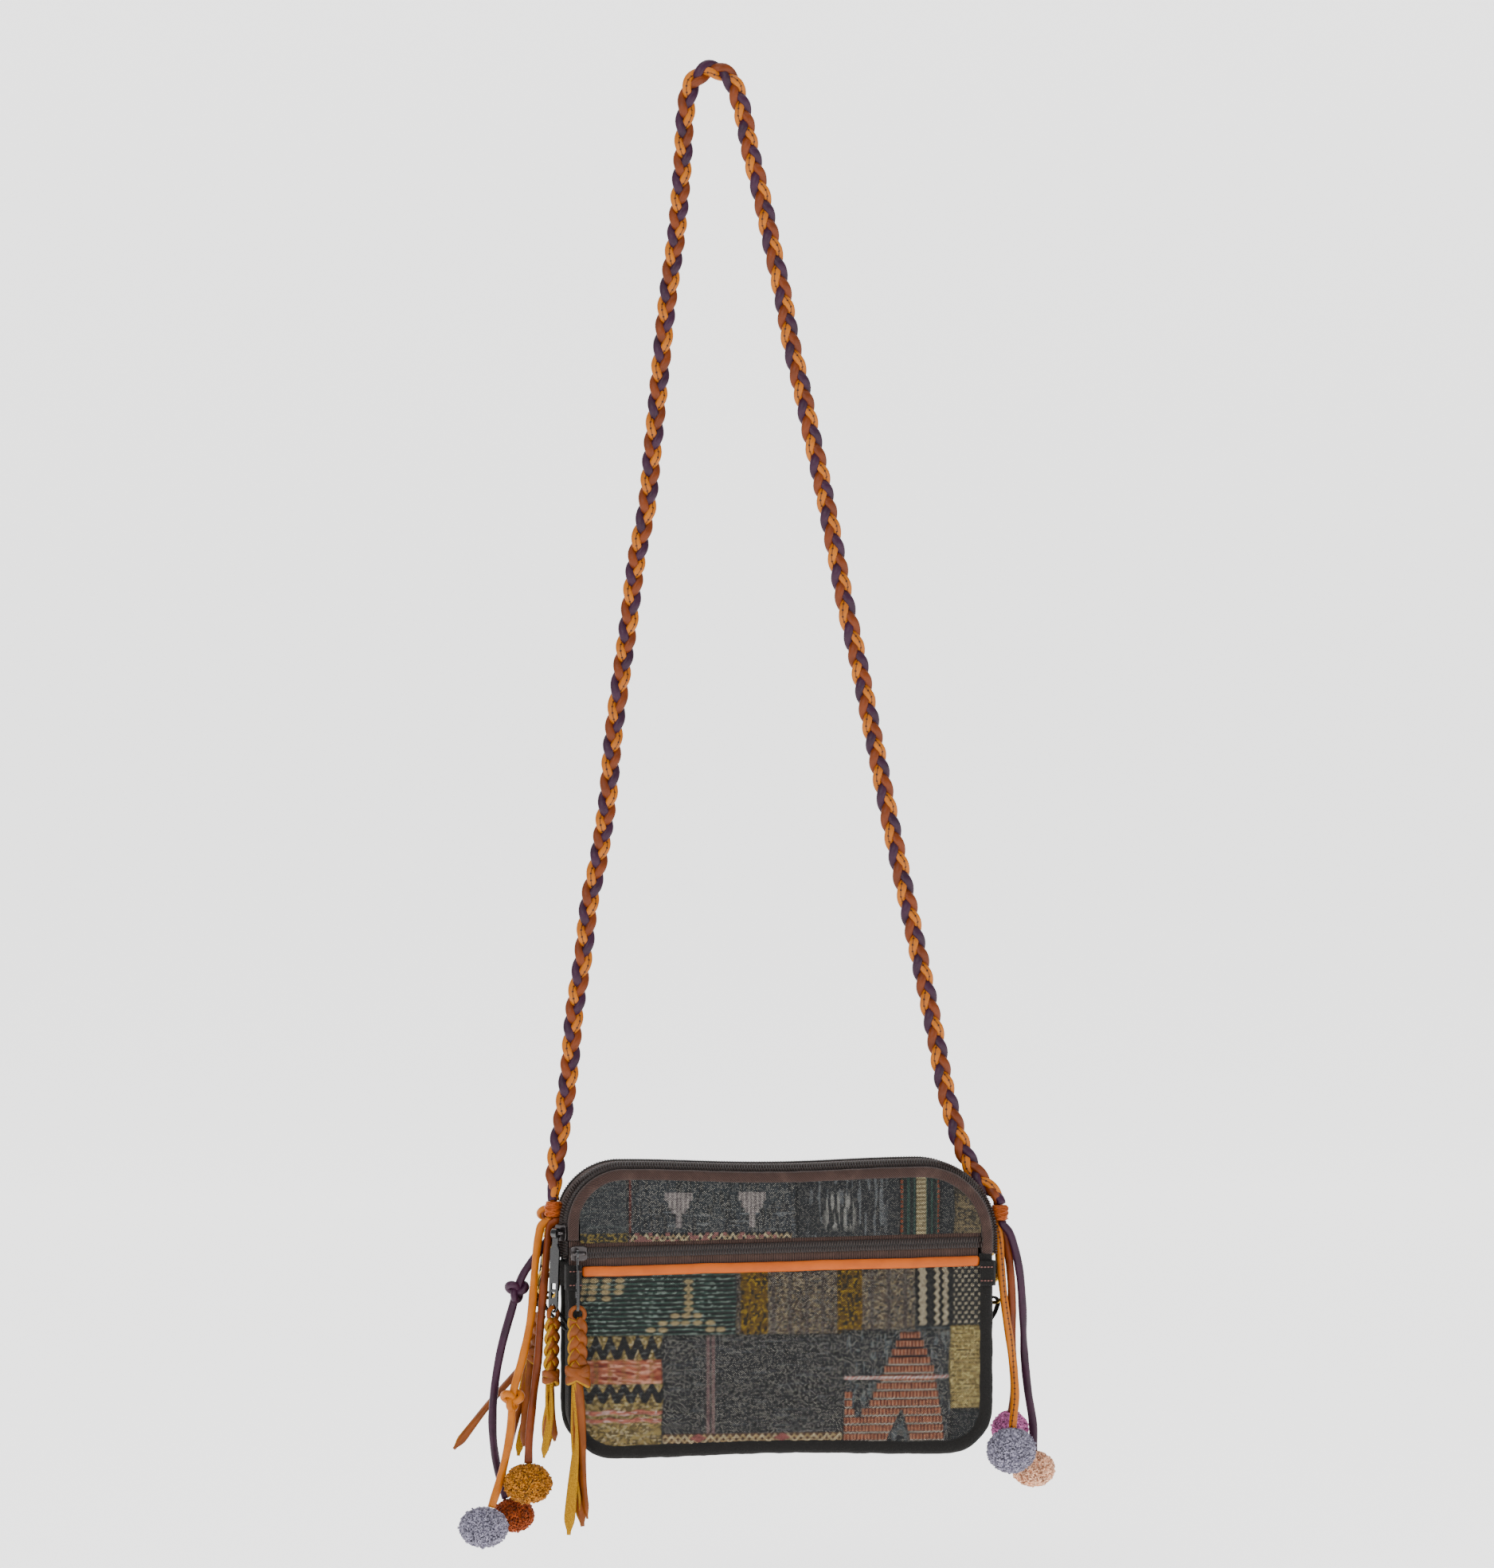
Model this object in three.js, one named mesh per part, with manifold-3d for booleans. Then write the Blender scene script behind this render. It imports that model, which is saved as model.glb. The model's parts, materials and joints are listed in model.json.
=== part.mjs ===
// Small crossbody bag of patchwork handwoven cloth, hung by its braided strap.
// Millimetres, +Z up, front towards -Y. The origin is the strap's hang point.

import * as THREE from 'three';
import { mergeVertices } from 'three/addons/utils/BufferGeometryUtils.js';
import Module from 'manifold-3d';

const wasm = await Module();
wasm.setup();

// Clearances between pieces
const SEAM_GAP = 0.3;
const SLIDE_GAP = 0.45;

// Bag body, over the front edge binding
const BAG_X = 39;
const BAG_TOP = -620;
const BAG_WIDTH = 244;
const BAG_HEIGHT = 164;
const BAG_DEPTH = 42;
const TOP_LEFT_RADIUS = 32;
const TOP_RIGHT_RADIUS = 40;
const BOTTOM_RADIUS = 27;
const TOP_DIP = 2.2;
const BOTTOM_RISE = 1.8;
const PANEL_THICKNESS = 2;
const PANEL_CROWN = 1.6;
const PANEL_SETBACK = 1;
const LINING_THICKNESS = 0.8;
const POCKET_DEPTH = 4.9;
const DIVIDER_Y = 3;

// Edge bindings
const PIPING_WIDTH = 6.4;
const PIPING_DEPTH = 5.2;
const BORDER_WIDTH = 8;
const BORDER_DEPTH = 6;
const ZIP_END_Z = -670;

// Felt gusset and the patches over the zip ends
const GUSSET_THICKNESS = 2;
const GUSSET_SAG = 5;
const PATCH_TOP_Z = -674;
const PATCH_HEIGHT = 14;
const PATCH_THICKNESS = 1.2;

// Coil zips: the two over the top and the pocket's
const CHAIN_WIDTH = 6.2;
const CHAIN_THICKNESS = 2.2;
const TAPE_THICKNESS = 0.8;
const MAIN_CHAIN_OUT = 1.7;
const MAIN_CHAIN_INSET = 8.4;
const BAND_DIP = 3;
const POCKET_ZIP_Z = -665.4;
const POCKET_SLANT_DEG = 0.95;
const POCKET_TAPE_UP = 5.5;
const POCKET_TAPE_DOWN = 7.7;
const POCKET_TAPE_TUCK = 1.5;
const TRIM_HEIGHT = 5.8;
const TRIM_DEPTH = 3.2;
const POCKET_CHAIN_END = 1;

// Sliders and their tabs
const SLIDER_LENGTH = 9.5;
const SLIDER_WALL = 0.9;
const BRIDGE_STANDOFF = 6.9;
const BRIDGE_BAR = 1.6;
const POCKET_SLIDER_INSET = 6.1;
const MAIN_SLIDER_Z = -656;
const TAB_THICKNESS = 1.6;
const TAB_ROLL_RADIUS = 3;
const TAB_ROLL_BORE = 1.6;
const TAB_ROLL_LENGTH = 3.6;
const TAB_WIDTH = 6.4;
const POCKET_TAB_LENGTH = 33;
const MAIN_TAB_LENGTH = 45;
const POCKET_PULL_STAND_DEG = 1.6;
const FRONT_PULL_LEAN_DEG = 2;
const REAR_PULL_LEAN_DEG = 8;

// Braided leather pulls
const LEATHER_LOOP_RADIUS = 4;
const LEATHER_LOOP_WIRE = 1.3;
const BRAID_PERIOD = 30;
const BRAID_SWING = 2.6;
const BRAID_CROSS = 1.1;
const BRAID_STRAND_WIDTH = 4.6;
const BRAID_STRAND_DEPTH = 2.8;
const FRINGE_STRIPS = 4;
const FRINGE_WIDTH = 3.6;
const FRINGE_THICKNESS = 1.4;

// Brass hardware
const RING_RADIUS = 8;
const RING_WIRE = 1;
const RING_TURN_DEG = 48;
const EYE_RADIUS = 4.9;
const EYE_WIRE = 1.1;
const HOOK_THICKNESS = 3;
const STEM_Z = 19;
const BARREL_RADIUS = 3;
const BARREL_HEIGHT = 3.6;
const POST_RADIUS = 1.2;
const RING_TAB_EYE = 3.9;
const RING_TAB_BORE = 2.6;
const RING_TAB_THICKNESS = 4;
const RING_TAB_TURN_DEG = 18;

// Strap and its ends
const STRAP_DIAMETER = 11.2;
const STRAND_DIAMETER = 4.6;
const BINDING_RADIUS = 4.8;
const LOOP_RADIUS = 4.2;
const LOOP_STRAND = 2;
const TAIL_SPREAD = 2.7;

const LEFT = {
  name: 'left', sign: -1, hardwareOut: 8.5, hardwareY: 6.5, ringZ: -686.5,
  bindingOut: 6.5, bindingY: -4, bindingTop: -638.7, bindingHeight: 9,
};
const RIGHT = {
  name: 'right', sign: 1, hardwareOut: 4.5, hardwareY: 4.5, ringZ: -692,
  bindingOut: 6.3, bindingY: -6, bindingTop: -643, bindingHeight: 9,
};

const toRad = THREE.MathUtils.degToRad;
const HALF_WIDTH = BAG_WIDTH / 2;
const HALF_DEPTH = BAG_DEPTH / 2;
const BAG_BOTTOM = BAG_TOP - BAG_HEIGHT;
const PANEL_Y = HALF_DEPTH - PANEL_SETBACK;
const hardwareX = (side) => side.sign * (HALF_WIDTH + side.hardwareOut);
const bindingX = (side) => side.sign * (HALF_WIDTH + side.bindingOut);

const vec = (x, y, z) => new THREE.Vector3(x, y, z);

const MATERIALS = {
  weave: { color: 0x3a4347, roughness: 0.95 },
  lining: { color: 0x2b2725, roughness: 0.9 },
  twill: { color: 0x352a28, roughness: 0.9 },
  felt: { color: 0x1e1f1d, roughness: 1 },
  coil: { color: 0x3b3230, roughness: 0.5 },
  trim: { color: 0xc9692b, roughness: 0.5 },
  slider: { color: 0x262323, roughness: 0.3, metalness: 0.8 },
  gloss: { color: 0x0c0c0e, roughness: 0.15 },
  leather: { color: 0xb05a1e, roughness: 0.6 },
  brass: { color: 0xb99b52, roughness: 0.25, metalness: 1 },
  binding: { color: 0xe07818, roughness: 0.6 },
  strap: { color: 0xa0481a, roughness: 0.6 },
  mustard: { color: 0xe8960a, roughness: 0.6 },
  rust: { color: 0xa0481a, roughness: 0.6 },
  purple: { color: 0x4a2f44, roughness: 0.6 },
  greyWool: { color: 0x9a96a8, roughness: 1 },
  mustardWool: { color: 0xb87a10, roughness: 1 },
  rustWool: { color: 0xa8420f, roughness: 1 },
  pinkWool: { color: 0xd987b8, roughness: 1 },
  peachWool: { color: 0xefbe9f, roughness: 1 },
};

const model = new THREE.Group();
const bag = new THREE.Group();
bag.position.set(BAG_X, 0, 0);
model.add(bag);

function addMesh(parent, name, geometry, finish) {
  const mesh = new THREE.Mesh(geometry, new THREE.MeshStandardMaterial(MATERIALS[finish]));
  mesh.name = name;
  parent.add(mesh);
  return mesh;
}

// Solid geometry from vertices and triangles, turned right side out
function closedGeometry(vertices, triangles) {
  let volume = 0;
  for (const [a, b, c] of triangles) {
    volume += vertices[a].dot(new THREE.Vector3().crossVectors(vertices[b], vertices[c]));
  }
  const faces = volume < 0 ? triangles.map(([a, b, c]) => [a, c, b]) : triangles;
  const geometry = new THREE.BufferGeometry();
  const flat = vertices.flatMap((v) => [v.x, v.y, v.z]);
  geometry.setAttribute('position', new THREE.Float32BufferAttribute(flat, 3));
  geometry.setIndex(faces.flat());
  return geometry;
}

// Triangles that close a loop of points, wound the same way as the loop
function capTriangles(loop) {
  const normal = new THREE.Vector3();
  for (let i = 0; i < loop.length; i += 1) {
    const edge = new THREE.Vector3().crossVectors(loop[i], loop[(i + 1) % loop.length]);
    normal.add(edge);
  }
  normal.normalize();
  const helper = Math.abs(normal.z) < 0.9 ? vec(0, 0, 1) : vec(1, 0, 0);
  const u = new THREE.Vector3().crossVectors(helper, normal).normalize();
  const v = new THREE.Vector3().crossVectors(normal, u);
  const contour = loop.map((p) => new THREE.Vector2(p.dot(u), p.dot(v)));
  return THREE.ShapeUtils.triangulateShape(contour, []).map((face) => {
    const [a, b, c] = face.map((index) => contour[index]);
    const turn = (b.x - a.x) * (c.y - a.y) - (b.y - a.y) * (c.x - a.x);
    return turn > 0 ? face : [face[0], face[2], face[1]];
  });
}

// Loft through loops of equal length, closed with a cap at each end
function loft(loops) {
  const count = loops[0].length;
  const vertices = loops.flat();
  const triangles = [];
  for (let i = 0; i + 1 < loops.length; i += 1) {
    for (let j = 0; j < count; j += 1) {
      const a = i * count + j;
      const b = i * count + ((j + 1) % count);
      triangles.push([a, b, b + count], [a, b + count, a + count]);
    }
  }
  const last = (loops.length - 1) * count;
  for (const [a, b, c] of capTriangles(loops[0])) triangles.push([a, c, b]);
  for (const [a, b, c] of capTriangles(loops[loops.length - 1])) {
    triangles.push([last + a, last + b, last + c]);
  }
  return closedGeometry(vertices, triangles);
}

function toSolid(geometry, matrix = new THREE.Matrix4()) {
  const bare = geometry.clone().applyMatrix4(matrix);
  bare.deleteAttribute('normal');
  bare.deleteAttribute('uv');
  const merged = mergeVertices(bare, 1e-4);
  return new wasm.Manifold(new wasm.Mesh({
    numProp: 3,
    vertProperties: Float32Array.from(merged.attributes.position.array),
    triVerts: Uint32Array.from(merged.index.array),
  }));
}

function fromSolid(solid) {
  const mesh = solid.getMesh();
  const geometry = new THREE.BufferGeometry();
  const flat = [];
  for (let i = 0; i < mesh.vertProperties.length; i += mesh.numProp) {
    flat.push(...mesh.vertProperties.slice(i, i + 3));
  }
  geometry.setAttribute('position', new THREE.Float32BufferAttribute(flat, 3));
  geometry.setIndex(Array.from(mesh.triVerts));
  return geometry;
}

const unite = (solids) => solids.reduce((sum, solid) => sum.add(solid));
const at = (x, y, z) => new THREE.Matrix4().makeTranslation(x, y, z);

// Extrusion centred on its own thickness
function plate(shape, thickness, curveSegments = 6) {
  const geometry = new THREE.ExtrudeGeometry(shape, {
    depth: thickness, bevelEnabled: false, curveSegments,
  });
  return geometry.translate(0, 0, -thickness / 2);
}

function circlePoints(radius, sides) {
  return Array.from({ length: sides }, (_, i) => {
    const angle = (2 * Math.PI * i) / sides;
    return new THREE.Vector2(radius * Math.cos(angle), radius * Math.sin(angle));
  });
}

function roundHole(y, radius, clockwise = false) {
  const points = circlePoints(radius, 12).map((p) => new THREE.Vector2(p.x, p.y + y));
  return new THREE.Path(clockwise ? points.reverse() : points);
}

function tube(points, radius, sides, spacing) {
  const path = new THREE.CatmullRomCurve3(points, false, 'centripetal');
  const steps = Math.max(3, Math.round(path.getLength() / spacing));
  return new THREE.ExtrudeGeometry(new THREE.Shape(circlePoints(radius, sides)), {
    steps, extrudePath: path,
  });
}

// Outline of the bag: stations of a base point and its outward normal
function arcStations(cx, cz, radius, fromDeg, toDeg, steps) {
  return Array.from({ length: steps + 1 }, (_, i) => {
    const angle = toRad(fromDeg + ((toDeg - fromDeg) * i) / steps);
    const nx = Math.cos(angle);
    const nz = Math.sin(angle);
    return { x: cx + radius * nx, z: cz + radius * nz, nx, nz };
  });
}

function flatStations(xFrom, xTo, z, nz, dip, steps) {
  return Array.from({ length: steps }, (_, i) => {
    const t = (i + 1) / (steps + 1);
    const x = xFrom + (xTo - xFrom) * t;
    return { x, z: z - dip * Math.sin(Math.PI * t) ** 2, nx: 0, nz };
  });
}

const sideStation = (sign, z) => ({ x: sign * HALF_WIDTH, z, nx: sign, nz: 0 });

function upperStations(leftEnd, rightEnd) {
  const leftX = -HALF_WIDTH + TOP_LEFT_RADIUS;
  const rightX = HALF_WIDTH - TOP_RIGHT_RADIUS;
  return [
    sideStation(-1, leftEnd),
    ...arcStations(leftX, BAG_TOP - TOP_LEFT_RADIUS, TOP_LEFT_RADIUS, 180, 90, 10),
    ...flatStations(leftX, rightX, BAG_TOP, 1, TOP_DIP, 5),
    ...arcStations(rightX, BAG_TOP - TOP_RIGHT_RADIUS, TOP_RIGHT_RADIUS, 90, 0, 8),
    sideStation(1, rightEnd),
  ];
}

function lowerStations(rightTop, leftTop) {
  const x = HALF_WIDTH - BOTTOM_RADIUS;
  const z = BAG_BOTTOM + BOTTOM_RADIUS;
  return [
    sideStation(1, rightTop),
    ...arcStations(x, z, BOTTOM_RADIUS, 0, -90, 6),
    ...flatStations(x, -x, BAG_BOTTOM, -1, -BOTTOM_RISE, 3),
    ...arcStations(-x, z, BOTTOM_RADIUS, -90, -180, 6),
    sideStation(-1, leftTop),
  ];
}

// Band along the outline: its section is a list of [outward, y] at each station
function band(stations, sectionAt) {
  return loft(stations.map((s) => sectionAt(s).map(([out, y]) => (
    vec(s.x + s.nx * out, y, s.z + s.nz * out)))));
}

// Closed section of a strip of even thickness along a line of [outward, y]
function ribbon(line, thickness) {
  const sides = line.map(([out, y], i) => {
    const [o0, y0] = line[Math.max(0, i - 1)];
    const [o1, y1] = line[Math.min(line.length - 1, i + 1)];
    const length = Math.hypot(o1 - o0, y1 - y0);
    const no = ((y1 - y0) / length) * (thickness / 2);
    const ny = (-(o1 - o0) / length) * (thickness / 2);
    return [[out + no, y + ny], [out - no, y - ny]];
  });
  return [...sides.map((pair) => pair[0]), ...sides.map((pair) => pair[1]).reverse()];
}

function rollSection(width, depth, yOuter, towards, sides) {
  const cy = yOuter + (towards * depth) / 2;
  return circlePoints(0.5, sides).map((p) => [-width / 2 + p.x * width, cy + p.y * depth]);
}

// Edge bindings: twill over the top, rolled felt round the bottom
function buildBindings() {
  const faces = [['front', -HALF_DEPTH, 1], ['back', HALF_DEPTH, -1]];
  for (const [face, y, towards] of faces) {
    const tapeTop = pocketLineZ(-HALF_WIDTH + PIPING_WIDTH, POCKET_TAPE_UP + POCKET_TAPE_TUCK);
    const tapeBottom = pocketLineZ(-HALF_WIDTH, -POCKET_TAPE_DOWN - POCKET_TAPE_TUCK);
    const leftEnd = face === 'front' ? tapeTop + SEAM_GAP : ZIP_END_Z;
    const leftTop = (face === 'front' ? tapeBottom : ZIP_END_Z) - SEAM_GAP;
    const piping = rollSection(PIPING_WIDTH, PIPING_DEPTH, y, towards, 8);
    const border = rollSection(BORDER_WIDTH, BORDER_DEPTH, y, towards, 8);
    addMesh(bag, `${face}_piping`, band(upperStations(leftEnd, ZIP_END_Z), () => piping), 'twill');
    addMesh(bag, `${face}_felt_border`,
      band(lowerStations(ZIP_END_Z - SEAM_GAP, leftTop), () => border), 'felt');
  }
}

// Felt gusset of the lower half, hollowed between its borders on the sides
const gussetEdgeY = HALF_DEPTH - BORDER_DEPTH - 2 * SEAM_GAP;
const gussetMid = (s) => -GUSSET_THICKNESS - GUSSET_SAG * Math.abs(s.nx) ** 2;

function gussetLine(s, shift = 0) {
  const edge = -GUSSET_THICKNESS - 1 + shift;
  const mid = gussetMid(s) + shift;
  const half = (edge + mid * 2) / 3;
  return [[edge, -gussetEdgeY], [half, -gussetEdgeY / 2], [mid, 0],
    [half, gussetEdgeY / 2], [edge, gussetEdgeY]];
}

function buildGusset() {
  const stations = lowerStations(ZIP_END_Z - SEAM_GAP, ZIP_END_Z - SEAM_GAP);
  addMesh(bag, 'felt_gusset',
    band(stations, (s) => ribbon(gussetLine(s), GUSSET_THICKNESS)), 'felt');
}

// Felt patch wrapped over each zip end, from the front face round to the back
function buildPatches() {
  const outer = HALF_DEPTH + SEAM_GAP + PATCH_THICKNESS / 2;
  const over = (GUSSET_THICKNESS + PATCH_THICKNESS) / 2 + SEAM_GAP;
  const proud = SEAM_GAP + PATCH_THICKNESS / 2;
  const half = [[-BORDER_WIDTH, -outer], [-1.2, -outer], [proud, -outer + 2],
    [proud, -gussetEdgeY], [gussetLine({ nx: 1 }, over)[1][0], -gussetEdgeY / 2]];
  const mirrored = half.map(([out, y]) => [out, -y]).reverse();
  const line = [...half, [gussetMid({ nx: 1 }) + over, 0], ...mirrored];
  const section = ribbon(line, PATCH_THICKNESS);
  for (const side of [LEFT, RIGHT]) {
    const ends = [PATCH_TOP_Z, PATCH_TOP_Z - PATCH_HEIGHT];
    const stations = ends.map((z) => sideStation(side.sign, z));
    addMesh(bag, `${side.name}_zip_end_patch`, band(stations, () => section), 'felt');
  }
}

// Main zips: each chain lies at 45 degrees between the binding and the top band
const chainY = HALF_DEPTH - MAIN_CHAIN_INSET;
const CHAIN_TILT = Math.SQRT1_2;

function chainPoint(along, up) {
  const out = MAIN_CHAIN_OUT + CHAIN_TILT * (along + up);
  const y = -chainY + CHAIN_TILT * (along - up);
  return [out, y];
}

const mirror = (line) => line.map(([out, y]) => [out, -y]).reverse();

// Middle lines of the tape outside the front chain and of the band between the chains
function tapeLines() {
  const half = CHAIN_WIDTH / 2;
  const under = -(CHAIN_THICKNESS / 2 + SEAM_GAP + TAPE_THICKNESS / 2);
  const pipingBack = -HALF_DEPTH + PIPING_DEPTH + SEAM_GAP + TAPE_THICKNESS / 2;
  const outer = [[-PIPING_WIDTH, pipingBack], [-2.6, pipingBack], chainPoint(-half * 0.8, under),
    chainPoint(-SEAM_GAP, under)];
  const bandHalf = [chainPoint(SEAM_GAP, under), chainPoint(half, under),
    [0.6, -chainY + 6.4], [-BAND_DIP + 0.6, -3.2]];
  return { outer, middle: [...bandHalf, [-BAND_DIP, 0], ...mirror(bandHalf)] };
}

function buildMainZips() {
  const half = CHAIN_WIDTH / 2;
  const lift = CHAIN_THICKNESS / 2;
  const chain = [chainPoint(-half, -lift), chainPoint(-half, lift * 0.4),
    chainPoint(-half * 0.7, lift), chainPoint(half * 0.7, lift),
    chainPoint(half, lift * 0.4), chainPoint(half, -lift)];
  const lines = tapeLines();
  const path = upperStations(ZIP_END_Z, ZIP_END_Z);
  addMesh(bag, 'front_main_zip_chain', band(path, () => chain), 'coil');
  addMesh(bag, 'rear_main_zip_chain', band(path, () => mirror(chain)), 'coil');
  const front = ribbon(lines.outer, TAPE_THICKNESS);
  addMesh(bag, 'front_main_zip_tape', band(path, () => front), 'twill');
  addMesh(bag, 'rear_main_zip_tape', band(path, () => mirror(front)), 'twill');
  const middle = ribbon(lines.middle, TAPE_THICKNESS);
  addMesh(bag, 'top_band_between_zips', band(path, () => middle), 'twill');
}

// Height of the slanted pocket zip line at x, moved square to it by w
const slant = Math.tan(toRad(POCKET_SLANT_DEG));
const pocketLineZ = (x, w = 0) => POCKET_ZIP_Z + x * slant + w * Math.hypot(1, slant);

// Inset that seats a wall lying between yFrom and yTo inside a strip of the shell
function seatInset(line, thickness, yFrom, yTo) {
  const reach = (y) => {
    const i = line.findIndex((p, k) => k > 0 && (p[1] - y) * (line[k - 1][1] - y) <= 0);
    const [[o0, y0], [o1, y1]] = [line[i - 1], line[i]];
    const slope = Math.hypot(1, (o1 - o0) / (y1 - y0));
    return (thickness / 2) * slope - (o0 + ((o1 - o0) * (y - y0)) / (y1 - y0));
  };
  return Math.max(reach(yFrom), reach(yTo)) + SEAM_GAP;
}

// Outline of the bag drawn in by an inset for its upper and its lower half
function insetOutline(upperInset, lowerInset) {
  const upper = upperStations(ZIP_END_Z, ZIP_END_Z).map((s) => ({ ...s, inset: upperInset }));
  const lower = lowerStations(ZIP_END_Z, ZIP_END_Z).map((s) => ({ ...s, inset: lowerInset(s) }));
  return [...upper, ...lower].map(({ x, z, nx, nz, inset }) => (
    new THREE.Vector2(x - nx * inset, z - nz * inset)));
}

// Part of an outline above or below a slanted line
function clipOutline(outline, w, keepAbove) {
  const height = (p) => (keepAbove ? 1 : -1) * (p.y - pocketLineZ(p.x, w));
  const kept = [];
  outline.forEach((p, i) => {
    const q = outline[(i + 1) % outline.length];
    const hp = height(p);
    const hq = height(q);
    if (hp >= 0) kept.push(p);
    if (hp * hq < 0) kept.push(p.clone().lerp(q, hp / (hp - hq)));
  });
  return kept.filter((p, i) => p.distanceTo(kept[(i + 1) % kept.length]) > 0.05);
}

// Cloth panel: two faces of an outline, domed outwards by the crown
function panel(outline, yInner, yOuter, crown) {
  const centre = new THREE.Box2().setFromPoints(outline).getCenter(new THREE.Vector2());
  const towards = Math.sign(yOuter - yInner);
  const scales = crown > 0 ? [0.3, 0.6, 0.85, 1] : [1];
  const face = (scale, y) => outline.map((p) => {
    const q = p.clone().sub(centre).multiplyScalar(scale).add(centre);
    return vec(q.x, y + towards * crown * (1 - scale * scale), q.y);
  });
  const outer = scales.map((scale) => face(scale, yOuter));
  const inner = scales.map((scale) => face(scale, yInner)).reverse();
  return loft([...outer, ...inner]);
}

function buildPanels() {
  const yOuter = -PANEL_Y;
  const yInner = yOuter + PANEL_THICKNESS;
  const outline = insetOutline(PIPING_WIDTH + SEAM_GAP, () => BORDER_WIDTH + SEAM_GAP);
  const upper = clipOutline(outline, POCKET_TAPE_UP, true);
  addMesh(bag, 'front_upper_panel', panel(upper, yInner, yOuter, PANEL_CROWN * 0.5), 'weave');
  const lowerEdge = -POCKET_TAPE_DOWN - TRIM_HEIGHT - SEAM_GAP;
  const lower = clipOutline(outline, lowerEdge, false);
  addMesh(bag, 'front_pocket_panel', panel(lower, yInner, yOuter, PANEL_CROWN), 'weave');
  addMesh(bag, 'back_panel', panel(outline, -yInner, PANEL_Y, 0), 'weave');

  const tapes = tapeLines();
  const seated = (strip, y) => insetOutline(
    seatInset(strip, TAPE_THICKNESS, y, y + LINING_THICKNESS),
    (s) => seatInset(gussetLine(s), GUSSET_THICKNESS, y, y + LINING_THICKNESS));
  const wallY = yInner + POCKET_DEPTH;
  const wall = clipOutline(seated(tapes.outer, wallY), POCKET_TAPE_UP, false);
  addMesh(bag, 'pocket_lining_wall', panel(wall, wallY + LINING_THICKNESS, wallY, 0), 'lining');
  addMesh(bag, 'compartment_divider',
    panel(seated(tapes.middle, DIVIDER_Y), DIVIDER_Y, DIVIDER_Y + LINING_THICKNESS, 0), 'lining');
}

// Pocket zip across the front: tapes, coil chain and the leather trim below
function buildPocketZip() {
  const across = (xFrom, xTo, wFrom, wTo, yFrom, yTo) => {
    const corners = [[xFrom, wFrom], [xTo, wFrom], [xTo, wTo], [xFrom, wTo]];
    const face = (y) => corners.map(([x, w]) => vec(x, y, pocketLineZ(x, w)));
    return loft([face(yFrom), face(yTo)]);
  };
  const tapeRight = HALF_WIDTH - PIPING_WIDTH - SEAM_GAP;
  const tapeLeft = -HALF_WIDTH + POCKET_CHAIN_END;
  const tapeY = -PANEL_Y + PANEL_THICKNESS + SEAM_GAP;
  const back = tapeY + TAPE_THICKNESS;
  addMesh(bag, 'pocket_zip_upper_tape',
    across(tapeLeft, tapeRight, SEAM_GAP, POCKET_TAPE_UP + POCKET_TAPE_TUCK, tapeY, back), 'twill');
  const borderRight = HALF_WIDTH - BORDER_WIDTH - SEAM_GAP;
  addMesh(bag, 'pocket_zip_lower_tape',
    across(tapeLeft, borderRight, -SEAM_GAP, -POCKET_TAPE_DOWN - POCKET_TAPE_TUCK, tapeY, back), 'twill');

  const chainBack = tapeY - SEAM_GAP;
  const chainFront = chainBack - CHAIN_THICKNESS;
  const half = CHAIN_WIDTH / 2;
  const section = [[-half, chainBack], [-half, chainFront + 0.7], [-half * 0.7, chainFront],
    [half * 0.7, chainFront], [half, chainFront + 0.7], [half, chainBack]];
  const loops = [tapeLeft, tapeRight].map((x) => (
    section.map(([w, y]) => vec(x, y, pocketLineZ(x, w)))));
  addMesh(bag, 'pocket_zip_chain', loft(loops), 'coil');

  const trimTop = -POCKET_TAPE_DOWN;
  const trimBottom = trimTop - TRIM_HEIGHT;
  const trimY = tapeY - SEAM_GAP - TRIM_DEPTH;
  const trimBack = tapeY - SEAM_GAP;
  const edge = TRIM_DEPTH * 0.35;
  const trim = [[trimTop, trimBack], [trimTop, trimY + edge], [trimTop - edge, trimY],
    [trimBottom + edge, trimY], [trimBottom, trimY + edge], [trimBottom, trimBack]];
  const trimLoops = [-borderRight, borderRight].map((x) => (
    trim.map(([w, y]) => vec(x, y, pocketLineZ(x, w)))));
  addMesh(bag, 'pocket_leather_trim', loft(trimLoops), 'trim');
}

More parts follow.
